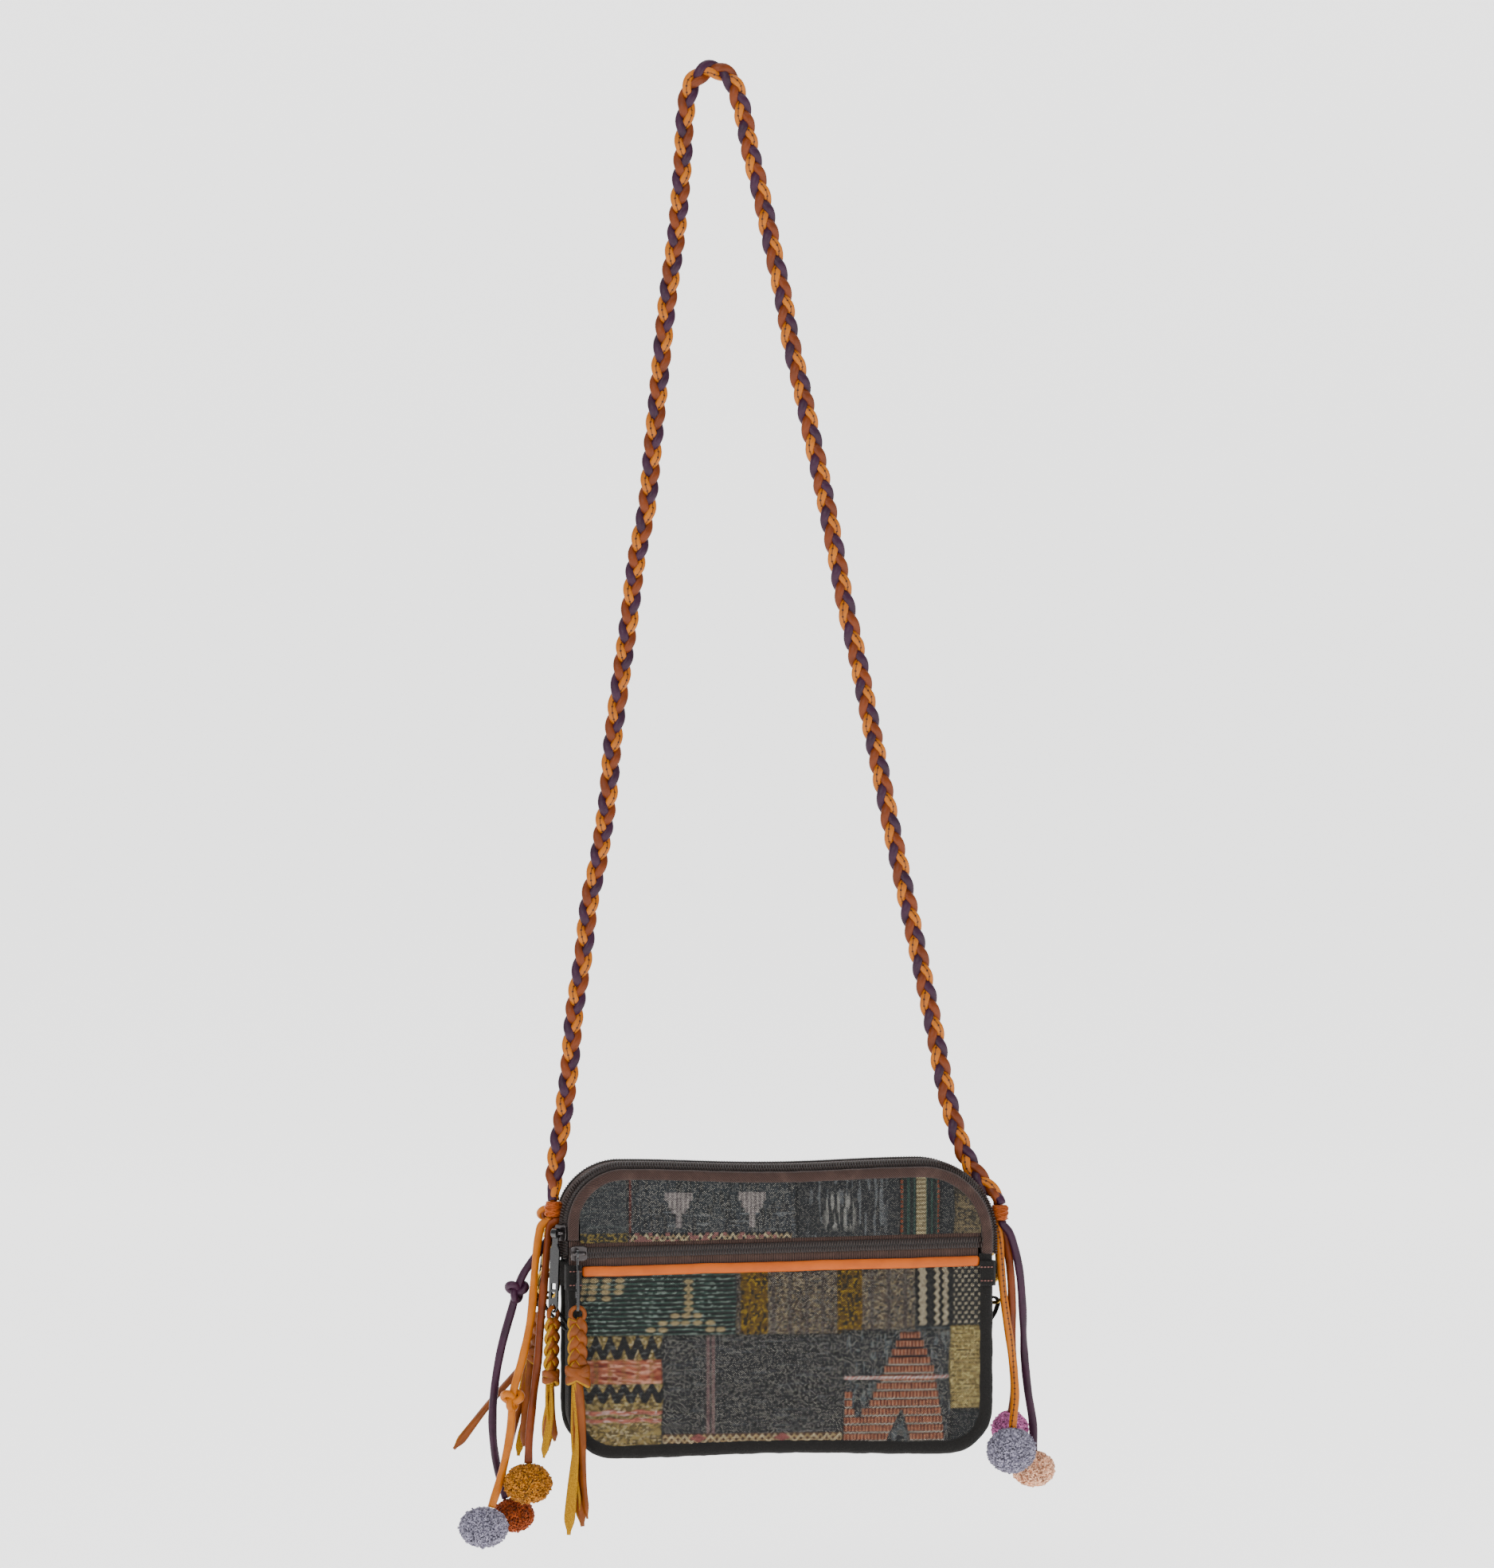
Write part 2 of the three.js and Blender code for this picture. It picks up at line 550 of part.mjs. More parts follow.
// Slider: X along the chain, Y across it, Z away from the tape; the chain's middle is the origin
function sliderSolid(barAlongChain) {
  const half = SLIDER_LENGTH / 2;
  const channel = CHAIN_WIDTH / 2 + SLIDE_GAP;
  const outer = channel + SLIDER_WALL;
  const plan = new THREE.Shape([
    [-half, -outer * 0.82], [-half * 0.4, -outer], [half * 0.6, -outer], [half, -outer * 0.76],
    [half, outer * 0.76], [half * 0.6, outer], [-half * 0.4, outer], [-half, outer * 0.82],
  ].map(([x, y]) => new THREE.Vector2(x, y)));
  const roof = CHAIN_THICKNESS / 2 + SLIDE_GAP;
  const top = roof + SLIDER_WALL;
  const bottom = SLIDER_WALL * 0.2;
  const body = toSolid(plate(plan, top - bottom), at(0, 0, (top + bottom) / 2));
  const passage = toSolid(
    new THREE.BoxGeometry(SLIDER_LENGTH * 2, channel * 2, 10), at(0, 0, roof - 5));
  const reach = 4;
  const barTop = BRIDGE_STANDOFF + BRIDGE_BAR / 2;
  const inner = reach - BRIDGE_BAR;
  const arch = new THREE.Shape([
    [-reach, top - 0.3], [-reach, barTop - 1], [-reach + 1, barTop], [reach - 1, barTop],
    [reach, barTop - 1], [reach, top - 0.3], [inner, top - 0.3], [inner, barTop - BRIDGE_BAR],
    [-inner, barTop - BRIDGE_BAR], [-inner, top - 0.3],
  ].map(([x, y]) => new THREE.Vector2(x, y)));
  const stand = new THREE.Matrix4().makeRotationX(Math.PI / 2);
  if (!barAlongChain) stand.premultiply(new THREE.Matrix4().makeRotationZ(Math.PI / 2));
  return unite([body.subtract(passage), toSolid(plate(arch, BRIDGE_BAR), stand)]);
}

// Moulded tab: eye at the origin, body hanging towards -Y, in its own XY plane.
// A rolled eye has its bore across the tab, a flat one through it.
function tabGeometry(length, rolledEye) {
  const eye = TAB_ROLL_RADIUS;
  const half = TAB_WIDTH / 2;
  const end = -length + half;
  const shape = new THREE.Shape();
  if (rolledEye) {
    const wall = (TAB_ROLL_RADIUS + TAB_ROLL_BORE) / 2;
    shape.moveTo(-1.8, -wall);
    shape.lineTo(1.8, -wall);
  } else {
    shape.absarc(0, 0, eye, toRad(233), toRad(-53), true);
    shape.holes.push(roundHole(0, TAB_ROLL_BORE));
  }
  shape.lineTo(1.8, -eye - 3);
  shape.lineTo(half, -eye - 6);
  shape.lineTo(half, end);
  shape.absarc(0, end, half, 0, -Math.PI, true);
  shape.lineTo(-half, -eye - 6);
  shape.lineTo(-1.8, -eye - 3);
  const slot = (y, reach) => new THREE.Path([
    [-reach, y - 3.4], [reach, y - 3.4], [reach, y], [-reach, y],
  ].map(([px, py]) => new THREE.Vector2(px, py)));
  shape.holes.push(roundHole(end, LEATHER_LOOP_WIRE + 0.5));
  shape.holes.push(slot(end + 8.4, half * 0.5), slot(end + 13.4, half * 0.5));
  const body = plate(shape, TAB_THICKNESS, 8);
  if (!rolledEye) return body;
  const roll = new THREE.Shape(circlePoints(TAB_ROLL_RADIUS, 16));
  roll.holes.push(roundHole(0, TAB_ROLL_BORE, true));
  const turned = new THREE.Matrix4().makeRotationY(Math.PI / 2);
  return fromSolid(toSolid(body).add(toSolid(plate(roll, TAB_ROLL_LENGTH), turned)));
}

// Leather pull: its loop passes through the tab's hole at the origin, in the XZ plane
function leatherPull(braidLength, fringeLength) {
  const loop = new THREE.TorusGeometry(LEATHER_LOOP_RADIUS, LEATHER_LOOP_WIRE, 6, 14);
  const loopMatrix = at(0, 0, -LEATHER_LOOP_RADIUS).multiply(
    new THREE.Matrix4().makeRotationX(Math.PI / 2));
  const braidTop = -2 * LEATHER_LOOP_RADIUS + 1;
  const solids = [toSolid(loop, loopMatrix)];
  const rows = Math.round(braidLength / (BRAID_PERIOD / 12));
  for (let k = 0; k < 3; k += 1) {
    const loops = Array.from({ length: rows + 1 }, (_, i) => {
      const drop = (braidLength * i) / rows;
      const phase = 2 * Math.PI * (drop / BRAID_PERIOD + k / 3);
      const cx = BRAID_SWING * Math.sin(phase);
      const cy = BRAID_CROSS * Math.sin(2 * phase);
      return circlePoints(0.5, 6).map((p) => (
        vec(cx + p.x * BRAID_STRAND_WIDTH, cy + p.y * BRAID_STRAND_DEPTH, braidTop - drop)));
    });
    solids.push(toSolid(loft(loops)));
  }
  const knotZ = braidTop - braidLength - 3;
  const core = new THREE.SphereGeometry(1, 10, 6).scale(7.4, 4.6, 5);
  solids.push(toSolid(core, at(0, 0, knotZ)));
  const wrap = new THREE.TorusGeometry(3.6, 1.7, 6, 12);
  for (const tilt of [-35, 40]) {
    const turn = new THREE.Matrix4().makeRotationY(toRad(tilt));
    const flat = new THREE.Matrix4().makeScale(1.7, 1, 1);
    solids.push(toSolid(wrap, at(0, 0, knotZ).multiply(turn).multiply(flat)));
  }
  for (let k = 0; k < FRINGE_STRIPS; k += 1) {
    const side = k - (FRINGE_STRIPS - 1) / 2;
    const depth = k % 2 === 0 ? -1.2 : 1.2;
    const end = fringeLength * (1 - 0.04 * k);
    const loops = [0, 0.3, 0.65, 1].map((t) => {
      const cx = side * (1.6 + 1.5 * t) + 0.8 * Math.sin(3 * t + k);
      const cy = depth * (1 + 0.4 * t);
      const z = knotZ - end * t;
      const w = FRINGE_WIDTH / 2;
      const h = FRINGE_THICKNESS / 2;
      return [vec(cx - w, cy - h, z), vec(cx + w, cy - h, z),
        vec(cx + w, cy + h, z), vec(cx - w, cy + h, z)];
    });
    solids.push(toSolid(loft(loops)));
  }
  return fromSolid(unite(solids));
}

// Slider, tab and leather pull placed together on a chain
function buildPull(name, placed) {
  const { centre, along, normal, barAlong, tabShift, tabLength, lean, stand, braid, fringe } = placed;
  const across = new THREE.Vector3().crossVectors(normal, along);
  const sliderFrame = new THREE.Matrix4().makeBasis(along, across, normal);
  const slider = new THREE.Group();
  slider.applyMatrix4(sliderFrame.setPosition(centre));
  bag.add(slider);
  addMesh(slider, `${name}_slider`, fromSolid(sliderSolid(barAlong)), 'slider');

  const bar = barAlong ? along : across;
  const tab = new THREE.Group();
  tab.position.copy(centre).addScaledVector(normal, BRIDGE_STANDOFF).addScaledVector(bar, tabShift);
  tab.rotation.set(toRad(stand), toRad(lean), 0);
  bag.add(tab);
  const width = barAlong ? normal.clone() : across.clone();
  const axis = new THREE.Vector3().crossVectors(width, vec(0, 0, 1));
  const tabMatrix = new THREE.Matrix4().makeBasis(width, vec(0, 0, 1), axis);
  const plateGeometry = tabGeometry(tabLength, !barAlong);
  addMesh(tab, `${name}_pull_tab`, plateGeometry.applyMatrix4(tabMatrix), 'gloss');

  const leather = leatherPull(braid, fringe);
  const turn = Math.atan2(axis.y, axis.x);
  leather.rotateZ(Math.abs(turn) > Math.PI / 2 ? turn + Math.PI : turn);
  leather.translate(0, 0, -tabLength + TAB_WIDTH / 2);
  addMesh(tab, `${name}_leather_pull`, leather, 'leather');
}

function buildPulls() {
  const chainCentre = -PANEL_Y + PANEL_THICKNESS - CHAIN_THICKNESS / 2;
  const angle = toRad(POCKET_SLANT_DEG);
  const along = vec(Math.cos(angle), 0, Math.sin(angle));
  const sliderX = -HALF_WIDTH + POCKET_SLIDER_INSET;
  buildPull('pocket', {
    centre: vec(sliderX, chainCentre, pocketLineZ(sliderX)),
    along,
    normal: vec(0, -1, 0),
    barAlong: true,
    tabShift: -1.4,
    tabLength: POCKET_TAB_LENGTH,
    lean: 0,
    stand: -POCKET_PULL_STAND_DEG,
    braid: 28,
    fringe: 90,
  });
  for (const [name, sign, lean, braid, fringe] of [
    ['front_main', -1, FRONT_PULL_LEAN_DEG, 29, 46],
    ['rear_main', 1, REAR_PULL_LEAN_DEG, 20, 62],
  ]) {
    buildPull(name, {
      centre: vec(-HALF_WIDTH - MAIN_CHAIN_OUT, sign * chainY, MAIN_SLIDER_Z),
      along: vec(0, 0, 1),
      normal: vec(-CHAIN_TILT, sign * CHAIN_TILT, 0),
      barAlong: false,
      tabShift: 0,
      tabLength: MAIN_TAB_LENGTH,
      lean,
      stand: 0,
      braid,
      fringe,
    });
  }
}

// Brass hook seen square on: the ring's wire is at the origin, the stem is up
function hookShape() {
  const shape = new THREE.Shape();
  shape.moveTo(2.4, STEM_Z);
  shape.bezierCurveTo(3.6, 16, 5.6, 13, 5.6, 8);
  shape.lineTo(5.4, 3);
  shape.bezierCurveTo(5.2, -2.2, 2.6, -4, 0, -4);
  shape.bezierCurveTo(-3, -4, -5.2, -1.8, -5, 1.6);
  shape.lineTo(-3.3, 2.2);
  shape.bezierCurveTo(-3.6, -1.1, -2.5, -2.3, 0, -2.3);
  shape.bezierCurveTo(2.5, -2.3, 3.6, -1.1, 3.6, 3);
  shape.bezierCurveTo(3.6, 9, 2.4, 12.6, -0.6, 13);
  shape.lineTo(-1.6, 11);
  shape.lineTo(-4.8, 11.4);
  shape.bezierCurveTo(-4.8, 15, -3, 17, -2.4, STEM_Z);
  return shape;
}

function leverShape() {
  return new THREE.Shape([
    [-4.6, 2.6], [-3, 2.7], [-2.6, 6], [-2.3, 9.6], [-1.9, 10.6], [-4.5, 11],
    [-6.6, 10.2], [-6.9, 9], [-5, 8.2], [-4.5, 5.5],
  ].map(([x, y]) => new THREE.Vector2(x, y)));
}

// Ring, hook, lever, swivel eye and the tab that carries the ring, on one side
function buildHardware(side) {
  const x = hardwareX(side);
  const turn = toRad(-RING_TURN_DEG);
  const place = (z) => {
    const group = new THREE.Group();
    group.position.set(x, side.hardwareY, z);
    bag.add(group);
    return group;
  };
  const ringPlane = new THREE.Matrix4().makeRotationZ(turn).multiply(
    new THREE.Matrix4().makeRotationX(Math.PI / 2));
  const ring = new THREE.TorusGeometry(RING_RADIUS, RING_WIRE, 6, 24).applyMatrix4(ringPlane);
  addMesh(place(side.ringZ), `${side.name}_ring`, ring, 'brass');

  const squareOn = new THREE.Matrix4().makeRotationZ(turn + Math.PI / 2).multiply(
    new THREE.Matrix4().makeRotationX(Math.PI / 2));
  const hookZ = side.ringZ + RING_RADIUS;
  const barrelZ = STEM_Z + BARREL_HEIGHT / 2 - 0.4;
  const barrel = new THREE.CylinderGeometry(BARREL_RADIUS, BARREL_RADIUS, BARREL_HEIGHT, 12);
  const bore = new THREE.CylinderGeometry(
    POST_RADIUS + SEAM_GAP, POST_RADIUS + SEAM_GAP, BARREL_HEIGHT, 12);
  const upright = new THREE.Matrix4().makeRotationX(Math.PI / 2);
  const hook = toSolid(plate(hookShape(), HOOK_THICKNESS, 5), squareOn)
    .add(toSolid(barrel, at(0, 0, barrelZ).multiply(upright)))
    .subtract(toSolid(bore, at(0, 0, barrelZ + 0.8).multiply(upright)));
  addMesh(place(hookZ), `${side.name}_hook`, fromSolid(hook), 'brass');
  const lever = plate(leverShape(), HOOK_THICKNESS - 0.8).applyMatrix4(squareOn);
  addMesh(place(hookZ), `${side.name}_hook_lever`, lever, 'brass');

  const eyeZ = hookZ + STEM_Z + BARREL_HEIGHT + EYE_RADIUS + EYE_WIRE + 0.6;
  const upEye = new THREE.Matrix4().makeRotationY(Math.PI / 2);
  const postLength = 4;
  const post = new THREE.CylinderGeometry(POST_RADIUS, POST_RADIUS, postLength, 10);
  const eye = toSolid(new THREE.TorusGeometry(EYE_RADIUS, EYE_WIRE, 6, 18), upEye)
    .add(toSolid(post, at(0, 0, -EYE_RADIUS - postLength / 2).multiply(upright)));
  addMesh(place(eyeZ), `${side.name}_swivel_eye`, fromSolid(eye), 'brass');

  const binding = bindingSolid(side, eyeZ);
  addMesh(bag, `${side.name}_strap_binding`, fromSolid(binding), 'binding');
  addMesh(bag, `${side.name}_ring_tab`, fromSolid(ringTabSolid(side)), 'felt');
}

// Waxed cord whipping at the strap's end, with the loop that holds the eye
function bindingSolid(side, eyeZ) {
  const half = side.bindingHeight / 2;
  const profile = [[0, -half], [BINDING_RADIUS * 0.8, -half], [BINDING_RADIUS, -half * 0.6],
    [BINDING_RADIUS, half * 0.6], [BINDING_RADIUS * 0.8, half], [0, half]]
    .map(([r, z]) => new THREE.Vector2(r, z));
  const upright = new THREE.Matrix4().makeRotationX(Math.PI / 2);
  const barrel = toSolid(new THREE.LatheGeometry(profile, 12),
    at(bindingX(side), side.bindingY, side.bindingTop - half).multiply(upright));
  const tilt = Math.PI / 4;
  const centre = at(hardwareX(side), side.hardwareY - EYE_RADIUS * Math.sin(tilt),
    eyeZ + EYE_RADIUS * Math.cos(tilt));
  const loop = toSolid(new THREE.TorusGeometry(LOOP_RADIUS, LOOP_STRAND, 6, 16),
    centre.multiply(new THREE.Matrix4().makeRotationX(-tilt)));
  return barrel.add(loop);
}

// Folded felt tab: its eye holds the ring, its leg is cut flush over the gusset
function ringTabSolid(side) {
  const leg = new THREE.Shape();
  leg.absarc(0, 0, RING_TAB_EYE, toRad(40), toRad(235), false);
  leg.lineTo(10, -21);
  leg.lineTo(15, -17);
  leg.holes.push(roundHole(0, RING_TAB_BORE, true));
  const towardsBag = toRad(RING_TAB_TURN_DEG) + (side.sign > 0 ? Math.PI : 0);
  const squareOn = new THREE.Matrix4().makeRotationZ(towardsBag).multiply(
    new THREE.Matrix4().makeRotationX(Math.PI / 2));
  const tab = toSolid(plate(leg, RING_TAB_THICKNESS, 8),
    at(hardwareX(side), side.hardwareY, side.ringZ - RING_RADIUS).multiply(squareOn));
  const cutLine = (s) => [[-40, -HALF_DEPTH], [SEAM_GAP, -HALF_DEPTH], [SEAM_GAP, -gussetEdgeY],
    ...gussetLine(s, GUSSET_THICKNESS / 2 + SEAM_GAP),
    [SEAM_GAP, gussetEdgeY], [SEAM_GAP, HALF_DEPTH], [-40, HALF_DEPTH]];
  const ends = [ZIP_END_Z, BAG_BOTTOM + BOTTOM_RADIUS].map((z) => sideStation(side.sign, z));
  return tab.subtract(toSolid(band(ends, cutLine)));
}

// Strap centre line from the left binding over the hang point to the right one
const STRAP_ROUTE = [
  [-89.5, -4, -638.2], [-89.4, -4, -635], [-89, -3.4, -629], [-87.4, -1.6, -613.6], [-83.6, 0, -590.9],
  [-79.9, 0, -563.6], [-77.1, 0, -531.8], [-72.1, 0, -500], [-68.4, 0, -468.2],
  [-63.4, 0, -445.5], [-57.9, 0, -409.1], [-55.1, 0, -377.3], [-51, 0, -345.5],
  [-45.9, 0, -309.1], [-41.3, 0, -272.7], [-35.8, 0, -245.5], [-32.1, 0, -209.1],
  [-28.5, 0, -172.7], [-23.9, 0, -127.3], [-18.4, 0, -86.4], [-14.9, 0, -45.5],
  [-13.2, 0, -18], [-9.6, 0, -2.5], [0.5, 0, 5.6], [11.5, 0, 1.5], [18, 0, -13],
  [24, 0, -40.9], [30.8, 0, -68.2], [36.6, 0, -95.5], [42.6, 0, -122.7], [47.4, 0, -150],
  [52.8, 0, -172.7], [59.7, 0, -204.5], [65.7, 0, -231.8], [72.1, 0, -263.6], [79, 0, -300],
  [86.3, 0, -331.8], [92.7, 0, -363.6], [99.2, 0, -395.5], [105.6, 0, -427.3],
  [112.5, 0, -459.1], [119.4, 0, -490.9], [125.3, 0, -518.2], [130.9, 0, -545.5],
  [137, 0, -577.3], [144.6, 0, -604.5], [150.5, -1, -619], [157.8, -4, -630],
  [165.2, -5.7, -637.2], [167.1, -6, -640.4], [167.3, -6, -642.4],
];

// Tails below the bindings: where each strand leaves its binding, the route of its end, its pompom
const TAILS = [
  { name: 'left_mustard', finish: 'mustard', side: LEFT, leavesDeg: 180,
    route: [[-96.2, -4.6, -652], [-98, -5.6, -658], [-100.4, -7, -677.3], [-102.8, -8, -704.5],
      [-107.5, -8, -727.3], [-113, -8, -747.7], [-114.4, -8, -768.2], [-118.9, -8, -790.9],
      [-124.2, -8, -809.2]],
    pompom: { centre: [-129.6, -8, -822.7], radii: [14, 13, 11.4], finish: 'greyWool' } },
  { name: 'left_rust', finish: 'rust', side: LEFT, leavesDeg: -60,
    route: [[-91.4, -5.9, -651.8], [-92.6, -6.1, -657.5], [-94.8, -8.4, -680],
      [-97.2, -9.2, -704.5], [-98.8, -9.2, -727.3], [-101.5, -9, -750],
      [-103.8, -9, -772], [-104.3, -9, -785.5]],
    pompom: { centre: [-104.5, -9, -798.2], radii: [13.6, 13, 11.4], finish: 'mustardWool' } },
  { name: 'left_purple', finish: 'purple', side: LEFT, leavesDeg: 60,
    route: [[-88.6, -1.7, -652], [-90.2, -1.2, -657.5], [-98.5, -1.2, -669], [-107, 0, -681.8],
      [-112.5, 2, -700], [-118.5, 4, -722.7], [-122.1, 6, -745.5], [-123, 8, -768.2],
      [-120.3, 10, -790], [-115.6, 12, -807]],
    pompom: { centre: [-110.2, 12.4, -818.2], radii: [11.4, 11.4, 9.6], finish: 'rustWool' } },
  { name: 'right_mustard', finish: 'mustard', side: RIGHT, leavesDeg: 180,
    route: [[165.8, -6.6, -655.5], [166.8, -7.4, -661], [167.8, -9, -682], [170.2, -9.8, -704.5], [173.5, -10, -727.3],
      [175.6, -10.6, -750], [173.8, -11.6, -769]],
    pompom: { centre: [173, -12, -783.2], radii: [14, 13, 13], finish: 'greyWool' } },
  { name: 'right_rust', finish: 'rust', side: RIGHT, leavesDeg: 60,
    route: [[171.2, -3.4, -661], [173.9, -5.6, -684], [174.8, -4.6, -700], [176, 1, -727.3], [178.2, 6.5, -748],
      [178, 11.5, -762.4]],
    pompom: { centre: [177, 14, -774], radii: [10.6, 10.6, 10.6], finish: 'pinkWool' } },
  { name: 'right_purple', finish: 'purple', side: RIGHT, leavesDeg: -60,
    route: [[172.2, -8.2, -658], [175.8, -7.2, -667.5], [179, -6, -681.8], [181.3, -3.4, -704.5],
      [182.7, 0, -727.3], [185.4, 3, -750], [188.8, 5, -770], [189.8, 6, -784.6]],
    pompom: { centre: [189.1, 6, -795.9], radii: [12.3, 12, 10.4], finish: 'peachWool' } },
];

function tailStart(side, leavesDeg) {
  const angle = toRad(leavesDeg);
  return vec(BAG_X + bindingX(side) + TAIL_SPREAD * Math.cos(angle),
    side.bindingY + TAIL_SPREAD * Math.sin(angle),
    side.bindingTop - side.bindingHeight - SEAM_GAP);
}

// Where a tail coming from a point meets the pompom's ball
function seatOnBall(from, { centre, radii }) {
  const middle = vec(...centre);
  const direction = from.clone().sub(middle).normalize();
  const scaled = direction.clone().divide(vec(...radii)).length();
  return middle.addScaledVector(direction, 1 / scaled + SEAM_GAP);
}

function buildStrap() {
  const route = STRAP_ROUTE.map((p) => vec(...p));
  addMesh(model, 'strap', tube(route, STRAP_DIAMETER / 2, 8, 2.4 * STRAP_DIAMETER), 'strap');
  for (const { name, finish, side, leavesDeg, route: points, pompom } of TAILS) {
    const start = tailStart(side, leavesDeg);
    const path = [start, start.clone().add(vec(0, 0, -1.6)), ...points.map((p) => vec(...p))];
    path.push(seatOnBall(path.pop(), pompom));
    addMesh(model, `${name}_tail`, tube(path, STRAND_DIAMETER / 2, 8, 3 * STRAND_DIAMETER), finish);
    const ball = new THREE.SphereGeometry(1, 10, 8).rotateX(Math.PI / 2).scale(...pompom.radii);
    addMesh(model, `${name}_pompom`, ball, pompom.finish).position.set(...pompom.centre);
  }
}

buildPanels();
buildBindings();
buildGusset();
buildPatches();
buildMainZips();
buildPocketZip();
buildPulls();
buildHardware(LEFT);
buildHardware(RIGHT);
buildStrap();

export default model;
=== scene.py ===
import json
import logging
import math
from abc import ABC, abstractmethod
from collections.abc import Callable, Sequence
from dataclasses import dataclass
from enum import Enum

import bpy
import numpy as np
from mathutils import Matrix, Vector

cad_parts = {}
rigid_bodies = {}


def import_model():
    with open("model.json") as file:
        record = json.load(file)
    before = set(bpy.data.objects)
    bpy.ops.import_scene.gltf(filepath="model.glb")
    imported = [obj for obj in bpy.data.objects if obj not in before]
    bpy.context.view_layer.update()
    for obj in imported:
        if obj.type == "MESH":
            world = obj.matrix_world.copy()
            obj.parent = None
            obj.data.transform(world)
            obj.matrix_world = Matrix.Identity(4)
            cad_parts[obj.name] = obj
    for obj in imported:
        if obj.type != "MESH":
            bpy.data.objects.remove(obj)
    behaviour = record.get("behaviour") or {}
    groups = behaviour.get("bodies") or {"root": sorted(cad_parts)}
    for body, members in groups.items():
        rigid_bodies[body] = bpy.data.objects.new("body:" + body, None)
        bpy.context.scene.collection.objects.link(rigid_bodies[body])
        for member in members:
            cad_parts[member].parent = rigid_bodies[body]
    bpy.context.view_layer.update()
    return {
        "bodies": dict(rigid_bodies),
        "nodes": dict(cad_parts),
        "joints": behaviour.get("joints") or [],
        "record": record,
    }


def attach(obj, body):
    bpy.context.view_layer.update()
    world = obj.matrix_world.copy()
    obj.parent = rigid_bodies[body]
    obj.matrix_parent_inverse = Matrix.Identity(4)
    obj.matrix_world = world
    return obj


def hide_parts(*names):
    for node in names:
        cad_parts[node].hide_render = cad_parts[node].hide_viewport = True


# Looks of a patchwork crossbody bag hung by its braided strap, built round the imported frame.
# Shapes are worked out in millimetres from the bag's middle and stored in metres.

LOG = logging.getLogger("crossbody_bag")
MM = 0.001

# Bag body, in millimetres
BAG_X = 39.0
HALF_WIDTH = 122.0
HALF_DEPTH = 21.0
BAG_TOP = -620.0
BAG_BOTTOM = -784.0
TOP_LEFT_RADIUS = 32.0
TOP_RIGHT_RADIUS = 40.0
BOTTOM_RADIUS = 27.0
TOP_DIP = 2.2
BOTTOM_RISE = 1.8
ZIP_END_Z = -670.0
PANEL_Y = 20.0
PIPING_WIDTH = 6.4
PIPING_DEPTH = 5.2
BORDER_WIDTH = 8.0
BORDER_DEPTH = 6.0
GUSSET_THICKNESS = 2.0
GUSSET_SAG = 5.0

# Zips, in millimetres
CHAIN_WIDTH = 6.2
CHAIN_THICKNESS = 2.2
CHAIN_OUT = 1.7
CHAIN_INSET = 8.4
TAPE_THICKNESS = 0.8
TOOTH_PITCH = 1.55

# Line of the pocket zip and the reach of its tapes from it, in millimetres
POCKET_ZIP_Z = -665.4
POCKET_SLOPE = math.tan(math.radians(0.95))
TAPE_UP = 7.0
TAPE_DOWN = 9.2

# How much purer a dye is mixed than it looks under the studio's soft light
DYE_DEPTH = 1.1

# Upward direction
UP = np.array((0.0, 0.0, 1.0))

Array = np.ndarray
Material = bpy.types.Material


class Assembly(ABC):
    """A part of the bag or its studio that makes its own pieces."""

    @abstractmethod
    def build(self) -> None:
        """Makes the pieces."""


def rgb(code: str) -> tuple[float, float, float]:
    """Turns a hex colour into linear light values."""
    values = np.array([int(code[i:i + 2], 16) / 255 for i in (1, 3, 5)])
    linear = np.where(values <= 0.04045, values / 12.92, ((values + 0.055) / 1.055) ** 2.4)
    grey = linear.mean()
    return tuple(float(v) for v in np.clip(grey + (linear - grey) * DYE_DEPTH, 0.0, 1.0))


class Op(Enum):
    """Arithmetic that a socket can take part in."""

    ADD = "ADD"
    SUBTRACT = "SUBTRACT"
    MULTIPLY = "MULTIPLY"
    DIVIDE = "DIVIDE"
    SINE = "SINE"
    ABSOLUTE = "ABSOLUTE"
    MAXIMUM = "MAXIMUM"
    FLOOR = "FLOOR"


@dataclass(frozen=True)
class Socket:
    """One output of a material's node tree, with arithmetic."""

    graph: "Graph"
    output: bpy.types.NodeSocket

    def __add__(self, other: "Socket | float") -> "Socket":
        """Returns the sum."""
        return self.graph.math(Op.ADD, self, other)

    def __radd__(self, other: float) -> "Socket":
        """Returns the sum with a number on the left."""
        return self.graph.math(Op.ADD, other, self)

    def __sub__(self, other: "Socket | float") -> "Socket":
        """Returns the difference."""
        return self.graph.math(Op.SUBTRACT, self, other)

    def __rsub__(self, other: float) -> "Socket":
        """Returns a number less this value."""
        return self.graph.math(Op.SUBTRACT, other, self)

    def __mul__(self, other: "Socket | float") -> "Socket":
        """Returns the product."""
        return self.graph.math(Op.MULTIPLY, self, other)

    def __rmul__(self, other: float) -> "Socket":
        """Returns the product with a number on the left."""
        return self.graph.math(Op.MULTIPLY, other, self)

    def __truediv__(self, other: "Socket | float") -> "Socket":
        """Returns the quotient."""
        return self.graph.math(Op.DIVIDE, self, other)

    def sine(self) -> "Socket":
        """Returns the sine of this value."""
        return self.graph.math(Op.SINE, self)

    def ramp(self, low: float, high: float) -> "Socket":
        """Returns 0 below low, 1 above high and a smooth rise between."""
        return self.graph.node("ShaderNodeMapRange", {0: self, 1: low, 2: high, 3: 0.0, 4: 1.0},
                               interpolation_type="SMOOTHSTEP")


